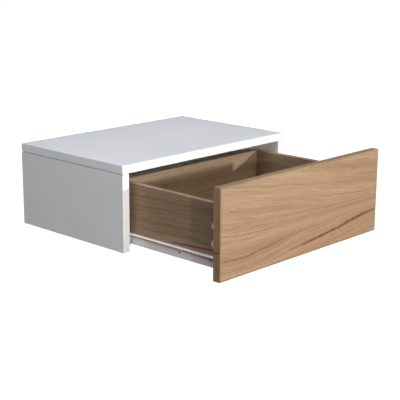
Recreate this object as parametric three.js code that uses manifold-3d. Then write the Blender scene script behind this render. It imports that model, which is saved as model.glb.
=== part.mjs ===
// Floating nightstand: a white board carcass, open underneath, that hangs on a wall by its back
// panel, with one oak-decor drawer on white roller slides. The drawer stands pulled out to its stop.
// Millimetres. +X is to the right, +Y goes into the wall, +Z is up, and the origin is the middle of
// the wall face. Inside the assembly, heights are counted from the carcass's lower edge.

import * as THREE from "three";
import { mergeVertices } from "three/addons/utils/BufferGeometryUtils.js";
import Module from "manifold-3d";

const wasm = await Module();
wasm.setup();

// Carcass
const WIDTH = 460;
const DEPTH = 300;
const HEIGHT = 166;
const BOARD = 16;
const EDGING = 1;

// Drawer
const PULLED_OUT = 225;
const FRONT = 16;
const FRONT_EDGING = 3;
const BOX_BOARD = 12;
const BOX_LENGTH = 275;
const BOX_LOW = 12.25;
const BOX_HIGH = 128.25;
const BOTTOM = 3;
const BOTTOM_LOW = 24.5;
const GROOVE_DEPTH = 4;
const GROOVE_PLAY = 0.25;
const BOTTOM_END_PLAY = 0.5;

// Roller slides, in the gap between carcass side and drawer side
const SLIDE_GAP = 12.5;
const STEEL = 1.25;
const SLIDE_LENGTH = 260;
const SLIDE_SETBACK = 2;
const CHANNEL_LOW = 13;
const CHANNEL_HIGH = 30.25;
const CHANNEL_DEPTH = 10;
const RUNNER_LOW = 11;
const RUNNER_HIGH = 33;
const RUNNER_LIP = 8.25;
const PIN_RADIUS = 2.5;
const RIVET_RADIUS = 4;
const ROLLER_BORE = 2.6;
const ROLLER_CHAMFER = 0.5;
const FLANGE_PLAY = 1.5;
const FRONT_ROLLER = { radius: 8.5, height: 23, setback: 12, near: 2.5, width: 6.5, rivet: 0.75 };
const REAR_ROLLER = { radius: 7, height: 21.75, setback: 253.5, near: 3.25, width: 6.5, rivet: 0.5 };
const RIVET_PLAY = 0.25;

// Fasteners
const FASTENER_PLAY = 0.3;
const TIP_PLAY = 0.5;
const BELOW_FACE = 0.25;
const CAM_RADIUS = 7.5;
const CAM_RECESS = { half: 4, halfWidth: 0.8, depth: 1.5 };
const CARCASS_CAM = { reach: 34, depth: 12.5, axisIn: 8, slot: 3.5, bore: 3.5 };
const DRAWER_CAM = { reach: 24, depth: 9.5, axisIn: 5.5, slot: 3, bore: 3.5 };
const BOLT_THREAD = 11;
const BOLT_RADIUS = 2.5;
const BOLT_NECK = { radius: 1.5, length: 2, taper: 1 };
const BOLT_HEAD = { length: 2, round: 0.5 };
const SCREW_SHANK = 1.6;
const SCREW_POINT = 2;
const SCREW_HEAD = { radius: 3.25, height: 1, round: 0.5 };
const TOP_JOINTS = { front: -260, rear: -40 };
const BACK_JOINT_HEIGHT = 75;
const DRAWER_JOINTS = { upper: 87, lower: 55 };
const BACK_SCREWS = { upper: 100, lower: 40 };
const BACK_SCREW = { shank: 2, head: 4, sink: 3, length: 42, point: 4 };
const CHANNEL_SCREWS = { front: -262, rear: -70 };
const RUNNER_SCREWS = { front: 106, rear: 234 };
const SLIDE_SCREW_HEIGHT = 22.5;
const CHANNEL_SCREW_LENGTH = 12;
const RUNNER_SCREW_LENGTH = 8;
const SPARE_HOLE = { radius: 1.5, along: 32, height: 24 };
const WALL_HOLE = { radius: 3, x: 140, height: 110 };
const TOOL_OVERRUN = 1;
const FINE_SIDES = 12;
const CAM_SIDES = 20;
const ROLLER_SIDES = 32;

// Planes that several pieces share, on the right-hand side
const HALF = WIDTH / 2;
const SIDE_IN = HALF - BOARD;
const UNDER_TOP = HEIGHT - BOARD;
const BOX_OUT = SIDE_IN - SLIDE_GAP;
const BOX_IN = BOX_OUT - BOX_BOARD;
const CHANNEL_WEB = SIDE_IN - STEEL;
const RUNNER_WEB = BOX_OUT + STEEL;
const CHANNEL_FRONT = -DEPTH + SLIDE_SETBACK;
const BACK_FRONT = BOX_LENGTH - BOX_BOARD;
const GROOVE_IN = BOX_IN + GROOVE_DEPTH;
const BOLT_IN_BOX = BOX_OUT - DRAWER_CAM.axisIn;

function finish(color, roughness, metalness = 0) {
  return new THREE.MeshStandardMaterial({ color, roughness, metalness });
}

const whiteBoard = finish(0xd9dbdf, 0.45);
const whiteEdging = finish(0xececec, 0.4);
const oakDecor = finish(0xbf9f7c, 0.55);
const oakEdging = finish(0xc9ab86, 0.5);
const boxDecor = finish(0x8f7156, 0.6);
const bottomBoard = finish(0x7d624a, 0.7);
const whiteSteel = finish(0xd6d0cb, 0.35, 0.1);
const nylon = finish(0xe4e2dc, 0.5);
const zinc = finish(0xb9bab8, 0.35, 0.9);
const screwSteel = finish(0xc4c6c8, 0.3, 0.9);

// A box from its low corner to its high corner.
function block(low, high) {
  const size = low.map((value, axis) => high[axis] - value);
  const middle = low.map((value, axis) => (high[axis] + value) / 2);
  return new THREE.BoxGeometry(...size).translate(...middle);
}

// A box about a middle point, from half its size along each axis.
function blockAbout(middle, half) {
  const low = middle.map((value, axis) => value - half[axis]);
  const high = middle.map((value, axis) => value + half[axis]);
  return block(low, high);
}

// A turned solid: the profile lists radius and distance along the axis, from the start point on.
function turned(profile, start, direction, sides = FINE_SIDES) {
  const points = profile.map(([radius, along]) => new THREE.Vector2(radius, along));
  const latheAxis = new THREE.Vector3(0, 1, 0);
  const turn = new THREE.Quaternion().setFromUnitVectors(latheAxis, new THREE.Vector3(...direction));
  return new THREE.LatheGeometry(points, sides).applyQuaternion(turn).translate(...start);
}

function rod(radius, length, start, direction, sides = FINE_SIDES) {
  const profile = [
    [0, 0],
    [radius, 0],
    [radius, length],
    [0, length],
  ];
  return turned(profile, start, direction, sides);
}

function toSolid(geometry) {
  const bare = geometry.clone();
  bare.deleteAttribute("normal");
  bare.deleteAttribute("uv");
  const welded = mergeVertices(bare);
  const mesh = new wasm.Mesh({
    numProp: 3,
    vertProperties: welded.attributes.position.array,
    triVerts: new Uint32Array(welded.index.array),
  });
  return new wasm.Manifold(mesh);
}

function toGeometry(solid) {
  const mesh = solid.getMesh();
  const geometry = new THREE.BufferGeometry();
  geometry.setAttribute("position", new THREE.BufferAttribute(mesh.vertProperties, 3));
  geometry.setIndex(new THREE.BufferAttribute(mesh.triVerts, 1));
  geometry.computeVertexNormals();
  return geometry;
}

function join(pieces) {
  return toGeometry(pieces.map(toSolid).reduce((whole, piece) => whole.add(piece)));
}

function cut(geometry, tools) {
  return toGeometry(tools.map(toSolid).reduce((rest, tool) => rest.subtract(tool), toSolid(geometry)));
}

// Adds a named piece to its group, with the geometry about its own middle and the mesh at its place.
function place(group, name, geometry, material) {
  geometry.computeBoundingBox();
  const middle = geometry.boundingBox.getCenter(new THREE.Vector3());
  geometry.translate(-middle.x, -middle.y, -middle.z);
  const piece = new THREE.Mesh(geometry, material);
  piece.name = name;
  piece.position.copy(middle);
  group.add(piece);
}

// Builds the right-hand pieces in one group and their mirror images in another.
function bothHands(group, build) {
  for (const [hand, mirror] of [
    ["left", -1],
    ["right", 1],
  ]) {
    const side = new THREE.Group();
    side.scale.x = mirror;
    group.add(side);
    build(side, hand);
  }
}

// A blind hole that starts just outside the face at the mouth.
function bore(radius, depth, mouth, inward, sides = FINE_SIDES) {
  const start = mouth.map((value, axis) => value - inward[axis] * TOOL_OVERRUN);
  return rod(radius, depth + TOOL_OVERRUN, start, inward, sides);
}

// The pilot hole that takes a connecting bolt's thread.
function threadHole(mouth, inward) {
  return bore(BOLT_RADIUS + FASTENER_PLAY, BOLT_THREAD + TIP_PLAY, mouth, inward);
}

// The connecting bolt of a cam joint, from its thread's tip to the head that the cam pulls on.
function connectingBolt(tip, direction, reach) {
  const centre = BOLT_THREAD + reach;
  const neckEnd = centre - BOLT_NECK.taper;
  const neckStart = neckEnd - BOLT_NECK.length;
  const end = centre + BOLT_HEAD.length;
  const profile = [
    [0, 0],
    [BOLT_RADIUS, 0],
    [BOLT_RADIUS, neckStart - BOLT_NECK.taper],
    [BOLT_NECK.radius, neckStart],
    [BOLT_NECK.radius, neckEnd],
    [BOLT_RADIUS, centre],
    [BOLT_RADIUS, end - BOLT_HEAD.round],
    [0, end],
  ];
  return turned(profile, tip, direction);
}

// A cam drum, slotted from one side for the bolt's head, with a crossed recess in its face.
function camDrum(mouth, inward, boltFrom, cam) {
  const face = mouth.map((value, axis) => value + inward[axis] * BELOW_FACE);
  const radius = CAM_RADIUS - FASTENER_PLAY;
  const drum = rod(radius, cam.depth - 2 * BELOW_FACE, face, inward, CAM_SIDES);
  const slotEnd = mouth.map((v, axis) => v + inward[axis] * cam.axisIn - boltFrom[axis] * cam.slot);
  const slot = rod(cam.slot, CAM_RADIUS + cam.slot + TOOL_OVERRUN, slotEnd, boltFrom);
  const along = inward.findIndex(Boolean);
  const [first, second] = [0, 1, 2].filter((axis) => axis !== along);
  const arms = [
    [first, second],
    [second, first],
  ].map(([long, short]) => {
    const half = [];
    half[along] = CAM_RECESS.depth;
    half[long] = CAM_RECESS.half;
    half[short] = CAM_RECESS.halfWidth;
    return blockAbout(face, half);
  });
  return cut(drum, [slot, ...arms]);
}

// A pan-head wood screw, from the underside of its head; the head stands against the direction.
function panScrew(seat, direction, length) {
  const profile = [
    [0, -SCREW_HEAD.height],
    [SCREW_HEAD.radius - SCREW_HEAD.round, -SCREW_HEAD.height],
    [SCREW_HEAD.radius, -SCREW_HEAD.height + SCREW_HEAD.round],
    [SCREW_HEAD.radius, 0],
    [SCREW_SHANK, 0],
    [SCREW_SHANK, length - SCREW_POINT],
    [0, length],
  ];
  return turned(profile, seat, direction);
}

// A countersunk screw whose flat head lies just under the face.
function sunkScrew(face, direction, size) {
  const profile = [
    [0, BELOW_FACE],
    [size.head, BELOW_FACE],
    [size.shank, size.sink],
    [size.shank, size.length - size.point],
    [0, size.length],
  ];
  return turned(profile, face, direction);
}

function roller(size, start, direction) {
  const profile = [
    [ROLLER_BORE, 0],
    [size.radius - ROLLER_CHAMFER, 0],
    [size.radius, ROLLER_CHAMFER],
    [size.radius, size.width - ROLLER_CHAMFER],
    [size.radius - ROLLER_CHAMFER, size.width],
    [ROLLER_BORE, size.width],
    [ROLLER_BORE, 0],
  ];
  return turned(profile, start, direction, ROLLER_SIDES);
}

// The pin that a roller turns on, from the steel web to its riveted head.
function rollerPin(start, direction, length, rivet) {
  const profile = [
    [0, -STEEL / 2],
    [PIN_RADIUS, -STEEL / 2],
    [PIN_RADIUS, length],
    [RIVET_RADIUS, length],
    [RIVET_RADIUS, length + rivet],
    [0, length + rivet],
  ];
  return turned(profile, start, direction, CAM_SIDES);
}

// Top panel and its three edge bands. Its underside takes the threads of the four top joints.
function buildTop(group) {
  const threads = [];
  for (const along of Object.values(TOP_JOINTS)) {
    for (const hand of [-1, 1]) {
      const mouth = [hand * (SIDE_IN + CARCASS_CAM.axisIn), along, UNDER_TOP];
      threads.push(threadHole(mouth, [0, 0, 1]));
    }
  }
  const edge = HALF - EDGING;
  const core = block([-edge, -DEPTH + EDGING, UNDER_TOP], [edge, 0, HEIGHT]);
  place(group, "top_panel", cut(core, threads), whiteBoard);
  const frontBand = block([-HALF, -DEPTH, UNDER_TOP], [HALF, -DEPTH + EDGING, HEIGHT]);
  place(group, "top_front_edging", frontBand, whiteEdging);
  bothHands(group, (side, hand) => {
    const band = block([edge, -DEPTH + EDGING, UNDER_TOP], [HALF, 0, HEIGHT]);
    place(side, `top_edging_${hand}`, band, whiteEdging);
  });
}

// Side panel with the bores for its cams, bolts and slide screws, and its two edge bands.
function buildCarcassSide(side, hand) {
  const boltX = SIDE_IN + CARCASS_CAM.axisIn;
  const camHeight = UNDER_TOP - CARCASS_CAM.reach;
  const holes = [];
  for (const along of Object.values(TOP_JOINTS)) {
    holes.push(bore(CAM_RADIUS, CARCASS_CAM.depth, [SIDE_IN, along, camHeight], [1, 0, 0], CAM_SIDES));
    holes.push(bore(CARCASS_CAM.bore, CARCASS_CAM.reach, [boltX, along, UNDER_TOP], [0, 0, -1]));
  }
  const backBolt = [SIDE_IN, -BOARD + CARCASS_CAM.axisIn, BACK_JOINT_HEIGHT];
  holes.push(threadHole(backBolt, [1, 0, 0]));
  for (const along of Object.values(CHANNEL_SCREWS)) {
    const mouth = [SIDE_IN, along, SLIDE_SCREW_HEIGHT];
    holes.push(bore(SCREW_SHANK + FASTENER_PLAY, CHANNEL_SCREW_LENGTH, mouth, [1, 0, 0]));
  }
  const core = block([SIDE_IN, -DEPTH + EDGING, EDGING], [HALF, 0, UNDER_TOP]);
  place(side, `side_panel_${hand}`, cut(core, holes), whiteBoard);
  const frontBand = block([SIDE_IN, -DEPTH, 0], [HALF, -DEPTH + EDGING, UNDER_TOP]);
  place(side, `side_front_edging_${hand}`, frontBand, whiteEdging);
  const lowBand = block([SIDE_IN, -DEPTH + EDGING, 0], [HALF, 0, EDGING]);
  place(side, `side_bottom_edging_${hand}`, lowBand, whiteEdging);
}

// Back panel between the sides, with its two cam joints and the two holes for wall screws.
function buildBack(group) {
  const boltY = -BOARD + CARCASS_CAM.axisIn;
  const camX = SIDE_IN - CARCASS_CAM.reach;
  const holes = [];
  for (const hand of [-1, 1]) {
    const camMouth = [hand * camX, -BOARD, BACK_JOINT_HEIGHT];
    holes.push(bore(CAM_RADIUS, CARCASS_CAM.depth, camMouth, [0, 1, 0], CAM_SIDES));
    const boltMouth = [hand * SIDE_IN, boltY, BACK_JOINT_HEIGHT];
    holes.push(bore(CARCASS_CAM.bore, CARCASS_CAM.reach, boltMouth, [-hand, 0, 0]));
    const wallMouth = [hand * WALL_HOLE.x, -BOARD, WALL_HOLE.height];
    holes.push(bore(WALL_HOLE.radius, BOARD + TOOL_OVERRUN, wallMouth, [0, 1, 0]));
  }
  const core = block([-SIDE_IN, -BOARD, 0], [SIDE_IN, 0, UNDER_TOP]);
  place(group, "back_panel", cut(core, holes), whiteBoard);
}

// The cam joints that hold the top and the back to one side panel.
function buildCarcassJoints(side, hand) {
  const boltX = SIDE_IN + CARCASS_CAM.axisIn;
  const camHeight = UNDER_TOP - CARCASS_CAM.reach;
  for (const [end, along] of Object.entries(TOP_JOINTS)) {
    const drum = camDrum([SIDE_IN, along, camHeight], [1, 0, 0], [0, 0, 1], CARCASS_CAM);
    place(side, `top_cam_${hand}_${end}`, drum, zinc);
    const tip = [boltX, along, UNDER_TOP + BOLT_THREAD];
    place(side, `top_bolt_${hand}_${end}`, connectingBolt(tip, [0, 0, -1], CARCASS_CAM.reach), screwSteel);
  }
  const camFace = [SIDE_IN - CARCASS_CAM.reach, -BOARD, BACK_JOINT_HEIGHT];
  place(side, `back_cam_${hand}`, camDrum(camFace, [0, 1, 0], [1, 0, 0], CARCASS_CAM), zinc);
  const tip = [SIDE_IN + BOLT_THREAD, -BOARD + CARCASS_CAM.axisIn, BACK_JOINT_HEIGHT];
  place(side, `back_bolt_${hand}`, connectingBolt(tip, [-1, 0, 0], CARCASS_CAM.reach), screwSteel);
}

// The carcass half of a slide: a channel whose upper flange starts behind the front roller.
function buildChannel(side, hand) {
  const rear = CHANNEL_FRONT + SLIDE_LENGTH;
  const lip = SIDE_IN - CHANNEL_DEPTH;
  const rollerAlong = -DEPTH + FRONT_ROLLER.setback;
  const flangeFront = rollerAlong + FRONT_ROLLER.radius + FLANGE_PLAY;
  const pinLength = FRONT_ROLLER.near - STEEL + FRONT_ROLLER.width + RIVET_PLAY;
  const pinStart = [CHANNEL_WEB, rollerAlong, FRONT_ROLLER.height];
  const screws = Object.entries(CHANNEL_SCREWS);
  const holes = screws.map(([, along]) => {
    const start = [SIDE_IN + TOOL_OVERRUN, along, SLIDE_SCREW_HEIGHT];
    return rod(SCREW_SHANK + FASTENER_PLAY, STEEL + 2 * TOOL_OVERRUN, start, [-1, 0, 0]);
  });
  const profile = join([
    block([CHANNEL_WEB, CHANNEL_FRONT, CHANNEL_LOW], [SIDE_IN, rear, CHANNEL_HIGH]),
    block([lip, CHANNEL_FRONT, CHANNEL_LOW], [SIDE_IN, rear, CHANNEL_LOW + STEEL]),
    block([lip, flangeFront, CHANNEL_HIGH - STEEL], [SIDE_IN, rear, CHANNEL_HIGH]),
    rollerPin(pinStart, [-1, 0, 0], pinLength, FRONT_ROLLER.rivet),
  ]);
  place(side, `cabinet_slide_${hand}`, cut(profile, holes), whiteSteel);
  const rollerStart = [SIDE_IN - FRONT_ROLLER.near, rollerAlong, FRONT_ROLLER.height];
  place(side, `front_roller_${hand}`, roller(FRONT_ROLLER, rollerStart, [-1, 0, 0]), nylon);
  for (const [end, along] of screws) {
    const seat = [CHANNEL_WEB, along, SLIDE_SCREW_HEIGHT];
    const screw = panScrew(seat, [1, 0, 0], CHANNEL_SCREW_LENGTH);
    place(side, `cabinet_slide_screw_${hand}_${end}`, screw, screwSteel);
  }
}

// Drawer front with its four edge bands; its rear face takes the bottom's groove and the bolts.
function buildFront(group) {
  const edge = HALF - FRONT_EDGING;
  const tools = [
    block(
      [-GROOVE_IN, -GROOVE_DEPTH, BOTTOM_LOW - GROOVE_PLAY],
      [GROOVE_IN, TOOL_OVERRUN, BOTTOM_LOW + BOTTOM + GROOVE_PLAY],
    ),
  ];
  for (const height of Object.values(DRAWER_JOINTS)) {
    for (const hand of [-1, 1]) {
      const mouth = [hand * BOLT_IN_BOX, 0, height];
      tools.push(threadHole(mouth, [0, -1, 0]));
    }
  }
  const core = block([-edge, -FRONT, FRONT_EDGING], [edge, 0, HEIGHT - FRONT_EDGING]);
  place(group, "drawer_front", cut(core, tools), oakDecor);
  const lowBand = block([-edge, -FRONT, 0], [edge, 0, FRONT_EDGING]);
  place(group, "front_edging_bottom", lowBand, oakEdging);
  const highBand = block([-edge, -FRONT, HEIGHT - FRONT_EDGING], [edge, 0, HEIGHT]);
  place(group, "front_edging_top", highBand, oakEdging);
  bothHands(group, (side, hand) => {
    place(side, `front_edging_${hand}`, block([edge, -FRONT, 0], [HALF, 0, HEIGHT]), oakEdging);
  });
}

// Drawer side with its bottom groove, cam bores, back screw holes and slide screw holes.
function buildDrawerSide(side, hand) {
  const tools = [
    block(
      [BOX_IN - TOOL_OVERRUN, -TOOL_OVERRUN, BOTTOM_LOW - GROOVE_PLAY],
      [GROOVE_IN, BOX_LENGTH + TOOL_OVERRUN, BOTTOM_LOW + BOTTOM + GROOVE_PLAY],
    ),
  ];
  for (const height of Object.values(DRAWER_JOINTS)) {
    const camMouth = [BOX_OUT, DRAWER_CAM.reach, height];
    tools.push(bore(CAM_RADIUS, DRAWER_CAM.depth, camMouth, [-1, 0, 0], CAM_SIDES));
    tools.push(bore(DRAWER_CAM.bore, DRAWER_CAM.reach, [BOLT_IN_BOX, 0, height], [0, 1, 0]));
  }
  for (const height of Object.values(BACK_SCREWS)) {
    const mouth = [BOX_OUT, BOX_LENGTH - BOX_BOARD / 2, height];
    tools.push(bore(BACK_SCREW.shank + FASTENER_PLAY, BOX_BOARD + TOOL_OVERRUN, mouth, [-1, 0, 0]));
    tools.push(bore(BACK_SCREW.head + FASTENER_PLAY, BACK_SCREW.sink + BELOW_FACE, mouth, [-1, 0, 0]));
  }
  for (const along of Object.values(RUNNER_SCREWS)) {
    const mouth = [BOX_OUT, along, SLIDE_SCREW_HEIGHT];
    const depth = RUNNER_SCREW_LENGTH - STEEL + TIP_PLAY;
    tools.push(bore(SCREW_SHANK + FASTENER_PLAY, depth, mouth, [-1, 0, 0]));
  }
  const core = block([BOX_IN, 0, BOX_LOW], [BOX_OUT, BOX_LENGTH, BOX_HIGH]);
  place(side, `drawer_side_${hand}`, cut(core, tools), boxDecor);
}

// Drawer back between the sides, with its bottom groove and the holes in its ends.
function buildDrawerBack(group) {
  const tools = [
    block(
      [-BOX_IN - TOOL_OVERRUN, BACK_FRONT - TOOL_OVERRUN, BOTTOM_LOW - GROOVE_PLAY],
      [BOX_IN + TOOL_OVERRUN, BACK_FRONT + GROOVE_DEPTH, BOTTOM_LOW + BOTTOM + GROOVE_PLAY],
    ),
  ];
  for (const height of Object.values(BACK_SCREWS)) {
    for (const hand of [-1, 1]) {
      const mouth = [hand * BOX_IN, BOX_LENGTH - BOX_BOARD / 2, height];
      const depth = BACK_SCREW.length - BOX_BOARD + TIP_PLAY;
      tools.push(bore(BACK_SCREW.shank + FASTENER_PLAY, depth, mouth, [-hand, 0, 0]));
    }
  }
  const core = block([-BOX_IN, BACK_FRONT, BOX_LOW], [BOX_IN, BOX_LENGTH, BOX_HIGH]);
  place(group, "drawer_back", cut(core, tools), boxDecor);
}

// The thin bottom, held in the grooves of front, sides and back.
function buildDrawerBottom(group) {
  const across = GROOVE_IN - BOTTOM_END_PLAY;
  const low = [-across, -GROOVE_DEPTH + BOTTOM_END_PLAY, BOTTOM_LOW];
  const high = [across, BACK_FRONT + GROOVE_DEPTH - BOTTOM_END_PLAY, BOTTOM_LOW + BOTTOM];
  place(group, "drawer_bottom", block(low, high), bottomBoard);
}

// The fasteners that hold one drawer side to the front and to the back.
function buildDrawerJoints(side, hand) {
  for (const [level, height] of Object.entries(DRAWER_JOINTS)) {
    const face = [BOX_OUT, DRAWER_CAM.reach, height];
    const drum = camDrum(face, [-1, 0, 0], [0, -1, 0], DRAWER_CAM);
    place(side, `drawer_cam_${hand}_${level}`, drum, zinc);
    const tip = [BOLT_IN_BOX, -BOLT_THREAD, height];
    const bolt = connectingBolt(tip, [0, 1, 0], DRAWER_CAM.reach);
    place(side, `drawer_bolt_${hand}_${level}`, bolt, screwSteel);
  }
  for (const [level, height] of Object.entries(BACK_SCREWS)) {
    const face = [BOX_OUT, BOX_LENGTH - BOX_BOARD / 2, height];
    place(side, `drawer_back_screw_${hand}_${level}`, sunkScrew(face, [-1, 0, 0], BACK_SCREW), screwSteel);
  }
}

// The drawer half of a slide: it carries the side on a foot, and its lip rolls on the front roller.
function buildRunner(side, hand) {
  const front = SLIDE_SETBACK;
  const rear = SLIDE_SETBACK + SLIDE_LENGTH;
  const pinLength = SLIDE_GAP - STEEL - REAR_ROLLER.near + RIVET_PLAY;
  const pinStart = [RUNNER_WEB, REAR_ROLLER.setback, REAR_ROLLER.height];
  const screws = Object.entries(RUNNER_SCREWS);
  const holes = screws.map(([, along]) => {
    const start = [BOX_OUT - TOOL_OVERRUN, along, SLIDE_SCREW_HEIGHT];
    return rod(SCREW_SHANK + FASTENER_PLAY, STEEL + 2 * TOOL_OVERRUN, start, [1, 0, 0]);
  });
  const spare = [BOX_OUT - TOOL_OVERRUN, SPARE_HOLE.along, SPARE_HOLE.height];
  holes.push(rod(SPARE_HOLE.radius, STEEL + 2 * TOOL_OVERRUN, spare, [1, 0, 0]));
  const profile = join([
    block([BOX_OUT, front, RUNNER_LOW], [RUNNER_WEB, rear, RUNNER_HIGH]),
    block([BOX_IN, front, RUNNER_LOW], [RUNNER_WEB, rear, RUNNER_LOW + STEEL]),
    block([BOX_OUT, front, RUNNER_HIGH - STEEL], [RUNNER_WEB + RUNNER_LIP, rear, RUNNER_HIGH]),
    rollerPin(pinStart, [1, 0, 0], pinLength, REAR_ROLLER.rivet),
  ]);
  place(side, `drawer_slide_${hand}`, cut(profile, holes), whiteSteel);
  const rollerStart = [SIDE_IN - REAR_ROLLER.near, REAR_ROLLER.setback, REAR_ROLLER.height];
  place(side, `rear_roller_${hand}`, roller(REAR_ROLLER, rollerStart, [-1, 0, 0]), nylon);
  for (const [end, along] of screws) {
    const seat = [RUNNER_WEB, along, SLIDE_SCREW_HEIGHT];
    const screw = panScrew(seat, [-1, 0, 0], RUNNER_SCREW_LENGTH);
    place(side, `drawer_slide_screw_${hand}_${end}`, screw, screwSteel);
  }
}

function buildCarcass() {
  const carcass = new THREE.Group();
  buildTop(carcass);
  buildBack(carcass);
  bothHands(carcass, (side, hand) => {
    buildCarcassSide(side, hand);
    buildCarcassJoints(side, hand);
    buildChannel(side, hand);
  });
  return carcass;
}

// The drawer's own frame has its origin on the rear face of the front.
function buildDrawer() {
  const drawer = new THREE.Group();
  buildFront(drawer);
  buildDrawerBack(drawer);
  buildDrawerBottom(drawer);
  bothHands(drawer, (side, hand) => {
    buildDrawerSide(side, hand);
    buildDrawerJoints(side, hand);
    buildRunner(side, hand);
  });
  drawer.position.y = -DEPTH - PULLED_OUT;
  return drawer;
}

const nightstand = new THREE.Group();
nightstand.add(buildCarcass(), buildDrawer());
nightstand.position.z = -HEIGHT / 2;

export default nightstand;
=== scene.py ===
# Floating nightstand: the looks of its boards, drawer, roller slides and fittings, set round the
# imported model. Metres, in the model's own frame: +X is to the right seen from the front, +Y goes
# into the wall, +Z is up, and the origin is the middle of the wall face.

import math
from operator import mul

import bmesh
import bpy
from bpy.props import FloatProperty, FloatVectorProperty, PointerProperty
from mathutils import Matrix, Vector


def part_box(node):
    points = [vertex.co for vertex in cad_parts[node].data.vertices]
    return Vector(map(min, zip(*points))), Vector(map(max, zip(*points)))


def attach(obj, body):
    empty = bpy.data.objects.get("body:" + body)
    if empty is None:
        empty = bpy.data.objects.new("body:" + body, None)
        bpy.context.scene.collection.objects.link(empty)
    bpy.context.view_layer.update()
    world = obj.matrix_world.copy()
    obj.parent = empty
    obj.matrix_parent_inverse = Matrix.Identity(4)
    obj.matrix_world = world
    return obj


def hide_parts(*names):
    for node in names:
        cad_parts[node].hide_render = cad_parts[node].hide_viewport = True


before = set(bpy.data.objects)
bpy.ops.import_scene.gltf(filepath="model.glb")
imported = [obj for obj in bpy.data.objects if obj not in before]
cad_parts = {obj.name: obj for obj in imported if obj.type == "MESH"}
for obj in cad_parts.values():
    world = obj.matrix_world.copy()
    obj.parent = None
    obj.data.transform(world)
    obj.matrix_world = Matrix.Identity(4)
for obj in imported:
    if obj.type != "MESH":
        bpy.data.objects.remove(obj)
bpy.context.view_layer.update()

bl_info = {
    "name": "Floating nightstand",
    "version": (1, 0, 0),
    "blender": (4, 5, 0),
    "location": "3D View > Sidebar > Nightstand",
    "description": "Boards, drawer, roller slides and fittings of a floating nightstand",
    "category": "Object",
}

MM = 0.001
HANDS = {"left": -1, "right": 1}
X, Y, Z = 0, 1, 2

# Cam joints; here and below, round things are given by their radius
CAM_RIM = 0.5 * MM
CAM_DISH = 0.35 * MM
CAM_DISH_RADIUS = 5.6 * MM
CAM_CROSS = {"half": 3.8 * MM, "width": 0.8 * MM, "depth": 2.6 * MM, "foot": 0.55}
CAM_AXIS_IN = {"carcass": 7.75 * MM, "drawer": 5.25 * MM}
CAM_SLOT = {"carcass": 3.5 * MM, "drawer": 3 * MM}
CAM_BORE = 7.5 * MM
CAM_BORE_DEPTH = {"carcass": 12.5 * MM, "drawer": 9.5 * MM}
CAM_PLAY = 0.3 * MM
CAM_END_PLAY = 0.5 * MM

# Connecting bolts
BOLT_THREAD = 11 * MM
BOLT_THREAD_DEPTH = 0.6 * MM
BOLT_THREAD_END = 0.4 * MM
BOLT_COARSENESS = 1.3
BOLT_SHANK = 2.5 * MM
BOLT_TIP = 1.6 * MM
BOLT_NECK = 1.5 * MM
BOLT_NECK_LENGTH = 2 * MM
BOLT_SLOPE = 1 * MM
BOLT_HEAD = 2 * MM
BOLT_ROUNDING = 0.5 * MM

# Screws; the thread ends a point's length before the tip
SCREW_HEAD = 3.25 * MM
SCREW_HEAD_HEIGHT = 1 * MM
SCREW_DOME = ((0.45, 0.05 * MM), (0.78, 0.22 * MM), (0.95, 0.5 * MM), (1.0, 0.75 * MM))
SCREW_SHANK = 1.6 * MM
SCREW_POINT = 1.6 * MM
SCREW_NECK = 0.3 * MM
SCREW_PLAY = 0.3 * MM
SCREW_CROSS = {"half": 2.4 * MM, "width": 0.8 * MM, "depth": 1.6 * MM, "foot": 0.5}
SUNK_HEAD = 4 * MM
SUNK_SHANK = 2 * MM
SUNK_DEPTH = 3 * MM
SUNK_RIM = 0.25 * MM
SUNK_WALL = 0.15 * MM
SUNK_POINT = 3 * MM
SUNK_CROSS = {"half": 2.4 * MM, "width": 0.5 * MM, "depth": 1.9 * MM, "foot": 0.4}

# Slides
STEEL = 1.25 * MM
CHANNEL_LIP = 10 * MM
RUNNER_LIP = 8.25 * MM
FLANGE_START = 1.5 * MM
WEB_BORE_DEPTH = 3 * MM
WEB_CHAMFER = 0.05 * MM
SKIM = 0.2 * MM
SPARE_HOLE = 1.5 * MM
SPARE_HOLE_BACK = 30 * MM
SPARE_HOLE_UP = 13 * MM
PIN = 2.5 * MM
RIVET = 4 * MM
RIVET_HEIGHT = 0.55 * MM
RIVET_LIP = 0.15 * MM
RIVET_DOME = ((1.0, 0.6), (0.8, 0.2), (0.45, 0.0))
ROLLER_BORE = 2.6 * MM
ROLLER_HUB = 4.2 * MM
ROLLER_RIM = 1.3 * MM
ROLLER_DISH = 0.6 * MM
ROLLER_SLOPE = 0.3 * MM
ROLLER_EDGE = ((0.5 * MM, 0), (0.1 * MM, 0.35 * MM), (0, 1.2 * MM))

# Shapes in general
FINE_SIDES = 24
ROUND_SIDES = 48
FLOOR_SIDES = 96
THREAD_ROWS = 4
BEND_STEPS = 4
TINY = 1e-7
OVERRUN = 1 * MM
SQUARE_ON = 0.999
ROUNDING_STEPS = 3
SHARP_TURN = math.radians(42)
STEEP_TURN = math.radians(50)


# Settings


def length(name, description, default):
    return FloatProperty(
        name=name, description=description, default=default, min=0.0, precision=5, unit="LENGTH"
    )


def colour(name, description, default):
    return FloatVectorProperty(
        name=name, description=description, default=default, min=0.0, max=1.0, size=3, subtype="COLOR"
    )


def amount(name, description, default):
    return FloatProperty(name=name, description=description, default=default, min=0.0, max=100.0)


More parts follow.
